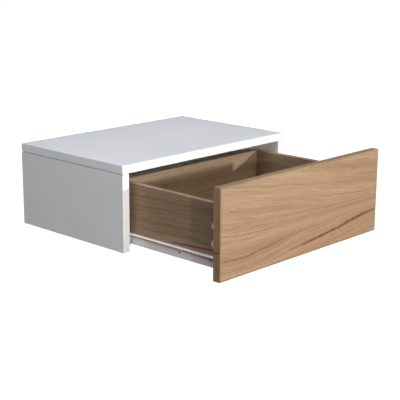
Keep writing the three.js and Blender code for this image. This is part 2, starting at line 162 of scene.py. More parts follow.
class NightstandSizes(bpy.types.PropertyGroup):
    """Small sizes of the dressed pieces; the large ones come from the model."""

    rounding: length("Edge rounding", "Radius of the boards' outer edges", 0.5 * MM)
    joint_gap: length("Joint gap", "Height of the shadow gap under the top", 1.5 * MM)
    seam: length("Seam", "Chamfer where a band meets its board", 0.12 * MM)
    steel_bend: length("Steel bend", "Inner radius of the slides' bends", 0.9 * MM)
    steel_break: length("Steel edge", "Rounded edge of the coated steel", 0.4 * MM)
    thread_depth: length("Thread depth", "Height of a screw's thread", 0.35 * MM)
    thread_pitch: length("Thread pitch", "Distance between a screw's turns", 1.4 * MM)


class NightstandFinishes(bpy.types.PropertyGroup):
    """Colours of the finishes."""

    white: colour("White board", "Laminate of the carcass", (0.80, 0.80, 0.80))
    band: colour("White band", "Edge bands of the carcass", (0.82, 0.82, 0.82))
    chips: colour("Board core", "Wood chips at an edge without a band", (0.46, 0.32, 0.19))
    oak_light: colour("Oak, light", "Paler lines of the oak decor", (0.394, 0.267, 0.161))
    oak_dark: colour("Oak, dark", "Darker lines of the oak decor", (0.281, 0.179, 0.103))
    oak_vein: colour("Oak vein", "Dark veins of the oak decor", (0.095, 0.017, 0.001))
    hardboard: colour("Hardboard", "Underside of the drawer's bottom", (0.30, 0.185, 0.105))
    steel: colour("White steel", "Coated steel of the slides", (0.84, 0.825, 0.81))
    # The flange's paler coat is a painted highlight
    flange: colour("Slide flange", "Upper flange of the drawer's slides", (1.0, 0.955, 0.92))
    nylon: colour("Nylon", "Rollers", (0.40, 0.395, 0.385))
    zinc: colour("Cast zinc", "Cams", (0.88, 0.81, 0.71))
    plating: colour("Plated steel", "Screws and bolts", (0.80, 0.80, 0.80))
    # The dark inside of a screw's cross is painted shade
    recess: colour("Recess", "Dark inside of a screw's cross", (0.035, 0.033, 0.030))


class NightstandStudio(bpy.types.PropertyGroup):
    """Light, floor and camera."""

    floor_drop: length("Floor drop", "Height of the origin above the floor", 0.53)
    cove: length("Cove radius", "Reach of the flat floor before it curves up", 7.0)
    ambient: amount("Ambient", "Light from all round", 0.011)
    key: amount("Key", "Hard light from the front right", 0.577)
    fill: amount("Fill", "Hard light from the front left", 0.331)
    low: amount("Low", "Broad warm light from the front left", 0.362)
    front: amount("Front", "Broad light from above the front", 0.362)
    overhead: amount("Overhead", "Light from above", 0.194)
    high: amount("High", "Cool light from high on the left", 0.485)
    rear: amount("Rear", "Level light on the wall side", 0.38)
    rear_right: amount("Rear right", "Level light from behind on the right", 0.40)
    under: amount("Under", "Light from below on the right", 0.11)
    lens: FloatProperty(name="Lens", description="Focal length", default=94.18, unit="CAMERA")


def settings():
    scene = bpy.context.scene
    return scene.nightstand_sizes, scene.nightstand_finishes, scene.nightstand_studio


# Shapes


def bridged(bm, low, high):
    """Adds the faces between two rings, either of which may be a pole."""
    count = max(len(low), len(high))
    for step in range(count):
        after = (step + 1) % count
        corners = [
            low[step % len(low)],
            low[after % len(low)],
            high[after % len(high)],
            high[step % len(high)],
        ]
        unique = list(dict.fromkeys(corners))
        if len(unique) > 2:
            bm.faces.new(unique)


def turn_to(direction):
    return Vector(direction).normalized().to_track_quat("Z", "Y")


def turned(bm, rows, start, direction, sides=FINE_SIDES, ring_shaped=False):
    """Turns rows of radius and distance about an axis; the distance runs along the direction.

    No radius makes a pole, and a radius may be worked out from the share of a turn.
    """
    turn = turn_to(direction)

    def ring(radius, along):
        if not callable(radius) and radius < TINY:
            return [bm.verts.new(Vector(start) + turn @ Vector((0, 0, along)))]
        points = []
        for step in range(sides):
            share = step / sides
            angle = 2 * math.pi * share
            reach = radius(share) if callable(radius) else radius
            local = Vector((reach * math.cos(angle), reach * math.sin(angle), along))
            points.append(bm.verts.new(Vector(start) + turn @ local))
        return points

    rings = [ring(radius, along) for radius, along in rows]
    closing = rings[1:] + rings[:1] if ring_shaped else rings[1:]
    for low, high in zip(rings, closing):
        bridged(bm, low, high)
    return bm


def prism(bm, low, high):
    """A closed solid between two outlines with the same number of points."""
    bottom = [bm.verts.new(point) for point in low]
    top = [bm.verts.new(point) for point in high]
    bridged(bm, bottom, top)
    bm.faces.new(bottom)
    bm.faces.new(top)
    return bm


def slab(bm, low, high):
    def level(height):
        return [
            Vector((low[X], low[Y], height)),
            Vector((high[X], low[Y], height)),
            Vector((high[X], high[Y], height)),
            Vector((low[X], high[Y], height)),
        ]

    return prism(bm, level(low[Z]), level(high[Z]))


def cross_tool(bm, face, inward, size):
    """A cross that narrows towards its foot, for the recess in a screw or cam."""
    turn = turn_to(inward)
    half, width = size["half"], size["width"]
    quarter = [(half, -width), (half, width), (width, width)]

    def outline(scale, along):
        slim = 0.5 + scale / 2
        points = []
        for cos, sin in ((1, 0), (0, 1), (-1, 0), (0, -1)):
            for x, y in quarter:
                x, y = x * (scale if x == half else slim), y * slim
                local = Vector((x * cos - y * sin, x * sin + y * cos, along))
                points.append(Vector(face) + turn @ local)
        return points

    return prism(bm, outline(1.0, -OVERRUN / 4), outline(size["foot"], size["depth"]))


def shaped(bm, change):
    """Runs a change, which adds modifiers, on a stand-by object and gives the shape it gets."""
    bmesh.ops.recalc_face_normals(bm, faces=bm.faces)
    mesh = bpy.data.meshes.new("standby")
    bm.to_mesh(mesh)
    bm.free()
    standby = bpy.data.objects.new("standby", mesh)
    bpy.context.scene.collection.objects.link(standby)
    change(standby)
    result = bmesh.new()
    result.from_object(standby, bpy.context.evaluated_depsgraph_get())
    bpy.data.objects.remove(standby)
    bpy.data.meshes.remove(mesh)
    return result


def carved(bm, tools):
    """Takes the tools' shapes out of a body."""
    bmesh.ops.recalc_face_normals(tools, faces=tools.faces)
    mesh = bpy.data.meshes.new("tools")
    tools.to_mesh(mesh)
    tools.free()
    tool = bpy.data.objects.new("tools", mesh)
    bpy.context.scene.collection.objects.link(tool)

    def change(standby):
        cut = standby.modifiers.new("Cut", "BOOLEAN")
        cut.operation = "DIFFERENCE"
        cut.solver = "EXACT"
        cut.object = tool

    result = shaped(bm, change)
    bpy.data.objects.remove(tool)
    bpy.data.meshes.remove(mesh)
    return result


def softened(bm, width):
    """Rounds every edge where the surface turns steeply."""

    def change(standby):
        bevel = standby.modifiers.new("Soften", "BEVEL")
        bevel.width = width
        bevel.segments = ROUNDING_STEPS
        bevel.limit_method = "ANGLE"
        bevel.angle_limit = STEEP_TURN

    return shaped(bm, change)


def side_of(normal):
    """The name of the side that a normal points to, such as -X, or nothing for a slanting one."""
    for axis, letter in enumerate("XYZ"):
        if abs(normal[axis]) > SQUARE_ON:
            return ("+" if normal[axis] > 0 else "-") + letter
    return None


def board(low, high, glued=(), radius=None):
    """A board or band with rounded free edges; those at a glued side get a fine seam instead."""
    sizes, _, _ = settings()
    widest = sizes.rounding if radius is None else radius
    bm = slab(bmesh.new(), low, high)
    bmesh.ops.recalc_face_normals(bm, faces=bm.faces)
    weight = bm.edges.layers.float.new("bevel_weight_edge")
    for edge in bm.edges:
        sides = {side_of(face.normal) for face in edge.link_faces}
        edge[weight] = sizes.seam / widest if sides & set(glued) else 1.0

    def change(standby):
        bevel = standby.modifiers.new("Edges", "BEVEL")
        bevel.width = widest
        bevel.segments = ROUNDING_STEPS
        bevel.limit_method = "WEIGHT"

    return shaped(bm, change)


def fitted(node, *glued):
    """A board or band that fills a node's box."""
    return board(*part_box(node), glued=glued)


def middle_of(node):
    low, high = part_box(node)
    return (low + high) / 2


def main_axis(direction):
    return max((X, Y, Z), key=lambda axis: abs(direction[axis]))


def inner_outer(node, sign):
    """The X of a node's side that faces the nightstand's middle, and of the one that faces away."""
    low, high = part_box(node)
    return (low[X], high[X]) if sign > 0 else (high[X], low[X])


def bore_tool(bm, radius, mouth, inward, depth, chamfer=0.2 * MM, sides=ROUND_SIDES):
    """A round bore with a chamfered mouth, as a shape to carve with."""
    rows = [
        (0, -OVERRUN),
        (radius + chamfer, -OVERRUN),
        (radius + chamfer, 0),
        (radius, chamfer),
        (radius, depth),
        (0, depth),
    ]
    return turned(bm, rows, mouth, inward, sides)


def bent_path(corners, bend):
    """A path of corners whose inner ones are rounded."""
    points = [Vector(corners[0])]
    for before, corner, after in zip(corners, corners[1:], corners[2:]):
        corner = Vector(corner)
        back = (Vector(before) - corner).normalized()
        ahead = (Vector(after) - corner).normalized()
        centre = corner + (back + ahead) * bend
        for step in range(BEND_STEPS + 1):
            angle = math.pi / 2 * step / BEND_STEPS
            points.append(centre - ahead * bend * math.cos(angle) - back * bend * math.sin(angle))
    points.append(Vector(corners[-1]))
    return points


def folded(corners, bend, thickness, front, rear):
    """Sheet steel folded along a path of X and Z corners, from its front to its rear end."""
    path = bent_path(corners, bend + thickness / 2)
    bm = bmesh.new()
    rows = []
    for index, point in enumerate(path):
        before = path[max(index - 1, 0)]
        after = path[min(index + 1, len(path) - 1)]
        along = (after - before).normalized()
        out = Vector((-along.y, along.x)) * thickness / 2
        rows.append([
            bm.verts.new((p.x, y, p.y))
            for p, y in (
                (point + out, front),
                (point - out, front),
                (point - out, rear),
                (point + out, rear),
            )
        ])
    for low, high in zip(rows, rows[1:]):
        bridged(bm, low, high)
    bm.faces.new(rows[0])
    bm.faces.new(rows[-1])
    bmesh.ops.recalc_face_normals(bm, faces=bm.faces)
    return bm


def merged(*parts):
    """Several separate shapes as one bmesh."""
    whole = bmesh.new()
    for part in parts:
        mesh = bpy.data.meshes.new("part")
        part.to_mesh(mesh)
        part.free()
        whole.from_mesh(mesh)
        bpy.data.meshes.remove(mesh)
    return whole


def new_piece(name, bm, looks, body, nodes, look_of=None):
    """Puts a shape into the scene as a finished piece that stands for CAD nodes.

    look_of gives the number of a face's finish; False is the first finish and True the second.
    """
    bmesh.ops.recalc_face_normals(bm, faces=bm.faces)
    if look_of:
        for face in bm.faces:
            face.material_index = int(look_of(face))
    mesh = bpy.data.meshes.new(name)
    bm.to_mesh(mesh)
    bm.free()
    for look in looks:
        mesh.materials.append(look)
    mesh.shade_smooth()
    mesh.set_sharp_from_angle(angle=SHARP_TURN)
    piece = bpy.data.objects.new(name, mesh)
    bpy.context.scene.collection.objects.link(piece)
    even = piece.modifiers.new("Even shading", "WEIGHTED_NORMAL")
    even.keep_sharp = True
    depsgraph = bpy.context.evaluated_depsgraph_get()
    final = bpy.data.meshes.new_from_object(piece.evaluated_get(depsgraph), depsgraph=depsgraph)
    piece.modifiers.clear()
    piece.data = final
    bpy.data.meshes.remove(mesh)
    final.name = name
    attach(piece, body)
    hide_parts(*nodes)


# Finishes


# Where most of a noise's values lie, and a narrower part in the middle of it
NOISE = (0.3, 0.7)
NARROW = (0.35, 0.65)
# Sockets of a node that mixes two colours
MIX_SHARE, MIX_FIRST, MIX_SECOND, MIX_RESULT = 0, 6, 7, 2


class Finish:
    """A material that is put together step by step."""

    def __init__(self, name, roughness, metallic=0.0):
        self.roughness = roughness
        self.material = bpy.data.materials.new(name)
        self.material.use_nodes = True
        self.tree = self.material.node_tree
        self.shader = self.tree.nodes["Principled BSDF"]
        self.fix("Roughness", roughness)
        self.fix("Metallic", metallic)
        self.place = self.add("TexCoord", {}).outputs["Object"]

    def fix(self, socket, value):
        """Sets what is the same all over the surface."""
        self.shader.inputs[socket].default_value = value

    def set(self, socket, value):
        """Sets what changes over the surface."""
        self.tree.links.new(value, self.shader.inputs[socket])

    def add(self, kind, values, **options):
        """Adds a node; a value that is another node's output is linked to it."""
        node = self.tree.nodes.new("ShaderNode" + kind)
        for option, value in options.items():
            setattr(node, option, value)
        for key, value in values.items():
            if isinstance(value, bpy.types.NodeSocket):
                self.tree.links.new(value, node.inputs[key])
            else:
                node.inputs[key].default_value = value
        return node

    def parts(self, vector):
        return self.add("SeparateXYZ", {"Vector": vector}).outputs

    def vector(self, *parts):
        return self.add("CombineXYZ", dict(enumerate(parts))).outputs[0]

    def maths(self, operation, first, second=0.0):
        return self.add("Math", {0: first, 1: second}, operation=operation).outputs[0]

    def plus(self, first, second):
        return self.maths("ADD", first, second)

    def less(self, first, second):
        return self.maths("SUBTRACT", first, second)

    def times(self, first, second):
        return self.maths("MULTIPLY", first, second)

    def stretched(self, parts, scales):
        """A place for a texture that has its own scale along each axis."""
        return self.vector(*map(self.times, parts, scales))

    def noise(self, vector, scale=1.0, detail=2.0, roughness=0.5):
        values = {"Vector": vector, "Scale": scale, "Detail": detail, "Roughness": roughness}
        return self.add("TexNoise", values).outputs["Fac"]

    def span(self, value, low, high, to_low=0.0, to_high=1.0, soft=True):
        """Stretches a value from one range to another, softly at both ends or evenly."""
        values = {"Value": value, "From Min": low, "From Max": high}
        values.update({"To Min": to_low, "To Max": to_high})
        kind = "SMOOTHSTEP" if soft else "LINEAR"
        return self.add("MapRange", values, interpolation_type=kind).outputs["Result"]

    def blend(self, share, first, second, kind="MIX"):
        def full(value):
            plain = not isinstance(value, bpy.types.NodeSocket) and len(value) == 3
            return (*value, 1.0) if plain else value

        values = {MIX_SHARE: share, MIX_FIRST: full(first), MIX_SECOND: full(second)}
        return self.add("Mix", values, data_type="RGBA", blend_type=kind).outputs[MIX_RESULT]

    def curve(self, value, points):
        """A curve through points, of which a new one already has two."""
        node = self.add("FloatCurve", {"Value": value})
        line = node.mapping.curves[0]
        for index, (x, y) in enumerate(points):
            if index < 2:
                line.points[index].location = (x, y)
            else:
                line.points.new(x, y)
        node.mapping.update()
        return node.outputs["Value"]

    def clouded(self, cloud, tone, dark, pale, reach=NOISE):
        """A tone that wanders between a darker and a paler share of itself."""
        return self.blend(self.span(cloud, *reach), tinted(tone, dark), tinted(tone, pale))

    def relief(self, height, distance, strength=0.5):
        values = {"Height": height, "Distance": distance, "Strength": strength}
        self.set("Normal", self.add("Bump", values).outputs["Normal"])

    def skin(self, texture, smoother, rougher, height, strength=0.5):
        """A fine texture that shows in the gloss and as a low relief."""
        low, high = self.roughness - smoother, self.roughness + rougher
        self.set("Roughness", self.span(texture, *NOISE, low, high))
        self.relief(texture, height, strength)


def tinted(value, factor):
    return tuple(min(1.0, channel * factor) for channel in value)


def white_laminate(name, white, roughness):
    """Pressed white laminate: a faint unevenness of tone and a fine pebbled skin."""
    finish = Finish(name, roughness)
    cloud = finish.noise(finish.place, scale=7.0, detail=3.0)
    tone = finish.clouded(cloud, white, dark=0.975, pale=1.01, reach=NARROW)
    fine = finish.noise(finish.place, scale=2600.0, detail=1.0)
    specks = finish.span(fine, 0.58, 0.75, to_high=0.35)
    finish.set("Base Color", finish.blend(specks, tone, tinted(white, 0.95)))
    peel = finish.noise(finish.place, scale=900.0, roughness=0.6)
    finish.skin(peel, smoother=0.05, rougher=0.05, height=0.03 * MM)
    return finish.material


def band_plastic(name, white, roughness):
    """Plastic band: a little glossier than the boards, and faintly wavy."""
    finish = Finish(name, roughness)
    cloud = finish.noise(finish.place, scale=11.0)
    finish.set("Base Color", finish.clouded(cloud, white, dark=0.98, pale=1.01, reach=NARROW))
    wave = finish.noise(finish.place, scale=340.0, detail=3.0, roughness=0.6)
    finish.skin(wave, smoother=0.06, rougher=0.04, height=0.02 * MM, strength=0.4)
    return finish.material


CHIP_SCALES = (420.0, 420.0, 1100.0)


def chip_core(name, chips):
    """The open edge of a chipboard: coarse flat chips, with dark gaps between them."""
    finish = Finish(name, roughness=0.85)
    flat = finish.stretched(finish.parts(finish.place), CHIP_SCALES)
    chip = finish.add("TexVoronoi", {"Vector": flat, "Scale": 1.0}).outputs
    share = finish.span(chip["Color"], 0.1, 0.9, soft=False)
    tone = finish.blend(share, tinted(chips, 0.62), tinted(chips, 1.3))
    gap = finish.span(chip["Distance"], 0.45, 0.8, to_high=0.75)
    finish.set("Base Color", finish.blend(gap, tone, tinted(chips, 0.35)))
    finish.relief(finish.times(chip["Distance"], -1.0), 0.25 * MM, strength=0.8)
    return finish.material


# Oak grain: for each figure how often it repeats in a metre along the grain and across it, and the
# detail and roughness of its noise; then each figure's share of the tone, and how dark pores are
GRAIN = {
    "bands": (2.2, 55.0, 2.0, 0.5),
    "lines": (5.0, 230.0, 3.0, 0.6),
    "threads": (14.0, 900.0, 2.0, 0.5),
    "pores": (58.0, 1500.0, 1.0, 0.5),
}
BAND_SHARE = 0.26
THREAD_SHARE = 0.34
LINE_SHARE = 0.40
PORE_SHARE = 0.42
PORE_TONE = 0.5
PORE_DULLNESS = 0.15
GRAIN_CONTRAST = (0.40, 0.60)
PORE_CONTRAST = (0.58, 0.68)
LINE_HEIGHT = 0.4
OAK_RELIEF = 0.06 * MM


def oak_grain(finish, along, across, depth, colours):
    """Growth bands, lines, threads and pores along one axis; gives the tone, pores and lines."""
    light, dark = colours

    def figure(name):
        reach, fine, detail, roughness = GRAIN[name]
        streaks = finish.stretched((along, across, depth), (reach, fine, fine))
        return finish.noise(streaks, detail=detail, roughness=roughness)

    lines = figure("lines")
    bands = finish.times(figure("bands"), BAND_SHARE)
    threads = finish.times(figure("threads"), THREAD_SHARE)
    mixed = finish.plus(finish.plus(bands, threads), finish.times(lines, LINE_SHARE))
    tone = finish.blend(finish.span(mixed, *GRAIN_CONTRAST), dark, light)
    pores = finish.span(figure("pores"), *PORE_CONTRAST)
    shaded = finish.blend(finish.times(pores, PORE_SHARE), tone, tinted(dark, PORE_TONE))
    return shaded, pores, lines


HALO_DARKNESS = 0.22


def vein(finish, tone, distance, strength, widths, dark, colour):
    """Darkens a tone near a line: a thin core with a faint halo round it."""
    core, halo = widths
    for width, depth in ((core, dark), (halo, dark * HALO_DARKNESS)):
        edge = finish.span(finish.maths("ABSOLUTE", distance), 0.0, width, 1.0, 0.0)
        share = finish.times(finish.times(edge, strength), depth)
        tone = finish.blend(share, tone, colour)
    return tone


def oak_surface(finish, tone, pores, lines):
    """Gives oak its tone; its pores are duller than the rest and a little sunk."""
    finish.set("Base Color", tone)
    dullest = finish.roughness + PORE_DULLNESS
    finish.set("Roughness", finish.span(pores, 0.0, 1.0, finish.roughness, dullest, soft=False))
    finish.relief(finish.less(finish.times(lines, LINE_HEIGHT), pores), OAK_RELIEF)


# The drawer front's grain: it climbs towards the right in the front's lower part and falls in its
# upper part; each sets in over a range of heights
FRONT_CLIMB_HEIGHT = 44 * MM
FRONT_CLIMB = ((0.0, 0.0), (0.15, 0.0), (0.36, 0.2), (0.62, 0.5), (1.0, 1.0))
FRONT_CLIMB_RANGE = (-42 * MM, 12 * MM)
FRONT_FALL = 0.145
FRONT_FALL_RANGE = (-40 * MM, 10 * MM)
FRONT_SWAY = 2.2 * MM
FRONT_SWAY_SCALE = 9.0
FRONT_RIPPLE = 0.5 * MM
FRONT_RIPPLE_SCALE = 70.0
# Its dark veins: the height at the left end, the widths of core and halo, how dark, and the
# strength from the left end to the right
FRONT_VEINS = (
    {
        "level": -79 * MM, "widths": (3.2 * MM, 8.0 * MM), "dark": 1.0,
        "strength": ((0.0, 0.0), (0.33, 0.2), (0.46, 0.55), (0.62, 0.95), (1.0, 1.0)),
    },
    {
        "level": -49.5 * MM, "widths": (2.1 * MM, 6.0 * MM), "dark": 0.85,
        "strength": ((0.0, 0.5), (0.2, 0.8), (0.3, 0.6), (0.5, 0.4), (1.0, 0.0)),
    },
    {
        "level": -3 * MM, "widths": (1.6 * MM, 5.0 * MM), "dark": 0.40,
        "strength": ((0.0, 0.3), (0.1, 0.7), (0.44, 0.5), (0.6, 0.0), (1.0, 0.0)),
    },
    {
        "level": 30 * MM, "widths": (1.6 * MM, 5.0 * MM), "dark": 0.36,
        "strength": ((0.0, 0.0), (0.3, 0.0), (0.5, 0.5), (1.0, 0.8)),
    },
    {
        "level": 62 * MM, "widths": (1.5 * MM, 4.0 * MM), "dark": 0.30,
        "strength": ((0.0, 0.0), (0.2, 0.5), (0.7, 0.6), (1.0, 0.3)),
    },
)
# The veins fade here and there along their length, down to a share of their strength
FADE_SCALES = (120.0, 1.0, 1.0)
FADE_SHARE = 0.6
# Its tone turns from plain at the upper left to duller and redder towards the lower right
FRONT_WARMTH_ACROSS = 0.4
FRONT_WARMTH_DOWN = 0.45
FRONT_PLAIN = (1.0, 1.0, 0.98)
FRONT_WARM = (0.97, 0.895, 0.885)


def front_oak(name, tones):
    """The drawer front's oak decor: level grain above, rising grain and dark veins below."""
    finish = Finish(name, roughness=0.5)
    x, y, z = finish.parts(finish.place)
    low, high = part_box("drawer_front")
    across = finish.span(x, low[X], high[X], soft=False)
    climb = finish.curve(across, FRONT_CLIMB)
    climb_share = finish.span(z, *FRONT_CLIMB_RANGE, FRONT_CLIMB_HEIGHT, 0.0)
    fall = finish.span(z, *FRONT_FALL_RANGE, 0.0, FRONT_FALL)
    flat = finish.vector(x, z, y)
    sway = finish.noise(flat, scale=FRONT_SWAY_SCALE)
    ripple = finish.noise(flat, scale=FRONT_RIPPLE_SCALE, detail=1.0)
    wave = finish.plus(
        finish.span(sway, *NOISE, -FRONT_SWAY, FRONT_SWAY, soft=False),
        finish.span(ripple, *NOISE, -FRONT_RIPPLE, FRONT_RIPPLE, soft=False),
    )
    level = finish.less(z, finish.times(climb, climb_share))
    level = finish.plus(level, finish.times(finish.less(x, low[X]), fall))
    level = finish.plus(level, wave)
    tone, pores, lines = oak_grain(finish, x, level, y, (tones.oak_light, tones.oak_dark))
    uneven = finish.noise(finish.stretched((x, y, z), FADE_SCALES))
    fading = finish.span(uneven, 0.25, 0.6, to_low=FADE_SHARE)
    for line in FRONT_VEINS:
        distance = finish.less(level, line["level"])
        strength = finish.times(finish.curve(across, line["strength"]), fading)
        tone = vein(finish, tone, distance, strength, line["widths"], line["dark"], tones.oak_vein)
    down = finish.span(z, low[Z], high[Z], FRONT_WARMTH_DOWN, 0.0, soft=False)
    warmth = finish.plus(finish.times(across, FRONT_WARMTH_ACROSS), down)
    most = FRONT_WARMTH_ACROSS + FRONT_WARMTH_DOWN
    hue = finish.blend(finish.span(warmth, 0.0, most), FRONT_PLAIN, FRONT_WARM)
    oak_surface(finish, finish.blend(1.0, tone, hue, "MULTIPLY"), pores, lines)
    return finish.material


PLAIN_SWAY = 4 * MM
PLAIN_SWAY_SCALE = 7.0
STREAK_WIDTHS = (2.0 * MM, 5.0 * MM)


def plain_oak(name, tones, axes, shade, roughness=0.52, streak=None):
    """Oak decor whose grain runs along the first of three axes, such as YZX.

    A streak is a dark line: where it starts and is full along Y, its height there and its slope.
    """
    finish = Finish(name, roughness)
    parts = finish.parts(finish.place)
    along, across, depth = (parts["XYZ".index(axis)] for axis in axes)
    sway = finish.noise(finish.vector(along, across, depth), scale=PLAIN_SWAY_SCALE)
    level = finish.plus(across, finish.span(sway, *NOISE, -PLAIN_SWAY, PLAIN_SWAY, soft=False))
    colours = [tuple(map(mul, tone, shade)) for tone in (tones.oak_light, tones.oak_dark)]
    tone, pores, lines = oak_grain(finish, along, level, depth, colours)
    if streak:
        start, full, height, slope = streak
        rise = finish.times(finish.less(parts[Y], full), slope)
        distance = finish.less(finish.less(parts[Z], height), rise)
        strength = finish.span(parts[Y], start, full)
        tone = vein(finish, tone, distance, strength, STREAK_WIDTHS, 1.0, tones.oak_vein)
    oak_surface(finish, tone, pores, lines)
    return finish.material


SIEVE_SCALE = 5200.0
SIEVE_SHARE = 0.2


def hardboard_skin(name, brown):
    """The rough brown underside of thin hardboard, with its fine sieve pattern."""
    finish = Finish(name, roughness=0.8)
    felt = finish.noise(finish.place, scale=260.0, detail=4.0, roughness=0.65)
    finish.set("Base Color", finish.clouded(felt, brown, dark=0.75, pale=1.2))
    x, y, _ = finish.parts(finish.place)
    across, along = (finish.maths("SINE", finish.times(part, SIEVE_SCALE)) for part in (x, y))
    sieve = finish.times(finish.times(across, along), SIEVE_SHARE)
    finish.relief(finish.plus(felt, sieve), 0.15 * MM, strength=0.6)
    return finish.material


def coated_steel(name, white, roughness):
    """White powder-coated sheet steel: a fine orange skin and a soft gloss."""
    finish = Finish(name, roughness)
    cloud = finish.noise(finish.place, scale=30.0)
    finish.set("Base Color", finish.clouded(cloud, white, dark=0.97, pale=1.02, reach=NARROW))
    peel = finish.noise(finish.place, scale=1500.0)
    finish.skin(peel, smoother=0.06, rougher=0.06, height=0.04 * MM)
    finish.fix("Coat Weight", 0.5)
    finish.fix("Coat Roughness", 0.2)
    return finish.material


def moulded_nylon(name, nylon):
    """Milky nylon with a fine matt skin."""
    finish = Finish(name, roughness=0.45)
    cloud = finish.noise(finish.place, scale=160.0, detail=3.0)
    finish.set("Base Color", finish.clouded(cloud, nylon, dark=0.95, pale=1.03))
    grain = finish.noise(finish.place, scale=2400.0)
    finish.skin(grain, smoother=0.07, rougher=0.07, height=0.02 * MM, strength=0.4)
    return finish.material


def metal(name, tone, roughness, metallic, grain):
    """Bare or plated metal with a cast or drawn grain of a given scale."""
    finish = Finish(name, roughness, metallic)
    cloud = finish.noise(finish.place, scale=grain / 6, detail=3.0)
    finish.set("Base Color", finish.clouded(cloud, tone, dark=0.86, pale=1.08))
    cast = finish.noise(finish.place, scale=grain, detail=3.0, roughness=0.6)
    finish.skin(cast, smoother=0.08, rougher=0.1, height=0.03 * MM)
    return finish.material


FLOOR_TONES = (0.24, 0.24, 0.24), (0.26, 0.26, 0.26)
FLOOR_GLOW = 0.985


def studio_floor(name):
    """A pale floor that glows, as a lit cove does, so that it stays white."""
    finish = Finish(name, roughness=0.9)
    cloud = finish.noise(finish.place, scale=0.6)
    finish.set("Base Color", finish.blend(cloud, *FLOOR_TONES))
    finish.fix("Emission Color", (1.0, 1.0, 1.0, 1.0))
    finish.fix("Emission Strength", FLOOR_GLOW)
    finish.fix("Specular IOR Level", 0.0)
    return finish.material


# How the other oak boards differ from the drawer front
# Painted shade: the drawer's sides and bottom are a darker copy of the front's oak
SIDE_PAINTED_SHADE = (0.755, 0.76, 0.773)
BACK_SHADE = (0.913, 0.94, 0.99)
BAND_SHADE = (0.95, 0.95, 0.95)
LOW_BAND_SHADE = (0.76, 0.76, 0.82)
RIGHT_BAND_SHADE = (0.80, 0.88, 1.02)
# Painted shade: the front's left band is darker, as its side face is in shade
EDGE_PAINTED_SHADE = (0.778, 0.746, 0.689)
# Painted light: the upper rims of the drawer's boards are paler
RIM_PAINTED_LIGHT = (0.97, 1.02, 1.07)
# Where a dark line starts and is full along Y, its height there, and its slope
SIDE_STREAK = (-380 * MM, -420 * MM, -45 * MM, -0.062)
EDGE_STREAK = (-540.5 * MM, -538.5 * MM, -30.8 * MM, -0.1)
# The finishes made so far
FINISHES = {}


def finish_called(name):
    """A finish by its name, made the first time that a piece asks for it."""
    if name not in FINISHES:
        _, tones, _ = settings()
        makers = {
            "white_laminate": lambda: white_laminate(name, tones.white, roughness=0.42),
            "white_band": lambda: band_plastic(name, tones.band, roughness=0.38),
            "chipboard_core": lambda: chip_core(name, tones.chips),
            "oak_front": lambda: front_oak(name, tones),
            "oak_band_level": lambda: plain_oak(name, tones, "XYZ", BAND_SHADE),
            "oak_band_low": lambda: plain_oak(name, tones, "XYZ", LOW_BAND_SHADE),
            "oak_band_upright": lambda: plain_oak(name, tones, "ZYX", EDGE_PAINTED_SHADE, streak=EDGE_STREAK),
            "oak_band_right": lambda: plain_oak(name, tones, "ZYX", RIGHT_BAND_SHADE),
            "oak_box_side": lambda: plain_oak(name, tones, "YZX", SIDE_PAINTED_SHADE, 0.55, SIDE_STREAK),
            "oak_box_back": lambda: plain_oak(name, tones, "XZY", BACK_SHADE, 0.55),
            "oak_side_rim": lambda: plain_oak(name, tones, "YXZ", RIM_PAINTED_LIGHT, 0.5),
            "oak_back_rim": lambda: plain_oak(name, tones, "XYZ", RIM_PAINTED_LIGHT, 0.5),
            "oak_bottom": lambda: plain_oak(name, tones, "YXZ", SIDE_PAINTED_SHADE, 0.6),
            "hardboard": lambda: hardboard_skin(name, tones.hardboard),
            "coated_steel": lambda: coated_steel(name, tones.steel, roughness=0.36),
            "painted_highlight_steel": lambda: coated_steel(name, tones.flange, roughness=0.28),
            "nylon": lambda: moulded_nylon(name, tones.nylon),
            "cast_zinc": lambda: metal(name, tones.zinc, 0.45, metallic=0.3, grain=900.0),
            "screw_recess": lambda: metal(name, tones.recess, 0.7, metallic=0.2, grain=1600.0),
            "plated_steel": lambda: metal(name, tones.plating, 0.34, metallic=0.6, grain=1600.0),
        }
        FINISHES[name] = makers[name]()
    return FINISHES[name]


def finishes(*names):
    return [finish_called(name) for name in names]


# Carcass


def raw_side(low, high, *sides):
    """Says whether a face shows the board's core: on a side without a band, or where it is cut."""
    inset = 1.2 * MM

    def is_raw(face):
        side = side_of(face.normal)
        centre = face.calc_center_median()
        within = all(low[axis] + inset < centre[axis] < high[axis] - inset for axis in (X, Y, Z))
        if side in sides:
            axis = "XYZ".index(side[1])
            plane = high[axis] if side[0] == "+" else low[axis]
            return within or abs(centre[axis] - plane) < inset
        return within

    return is_raw


def white_board(name, node, bm, raw):
    """A board of the carcass with a raw edge on one side."""
    new_piece(
        name, bm, finishes("white_laminate", "chipboard_core"), "carcass", [node],
        raw_side(*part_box(node), raw),
    )


def white_band(name, node, bm):
    new_piece(name, bm, finishes("white_band"), "carcass", [node])


def build_top():
    white_board("top_board", "top_panel", fitted("top_panel", "-X", "+X", "-Y"), "+Y")
    white_band("top_band_front", "top_front_edging", fitted("top_front_edging", "+Y"))
    for hand, inner in (("left", "+X"), ("right", "-X")):
        node = f"top_edging_{hand}"
        white_band(f"top_band_{hand}", node, fitted(node, inner, "-Y"))


def cam_bores(nodes, inward, kind, face):
    """The bores that cam drums sit in, as shapes to carve with."""
    tools = bmesh.new()
    for node in nodes:
        mouth = middle_of(node)
        mouth[main_axis(inward)] = face
        bore_tool(tools, CAM_BORE, mouth, inward, CAM_BORE_DEPTH[kind])
    return tools


JOINT_GAP_DEPTH = 4 * MM
FRONT_GAP = 0.8 * MM
FRONT_GAP_DEPTH = 1.5 * MM


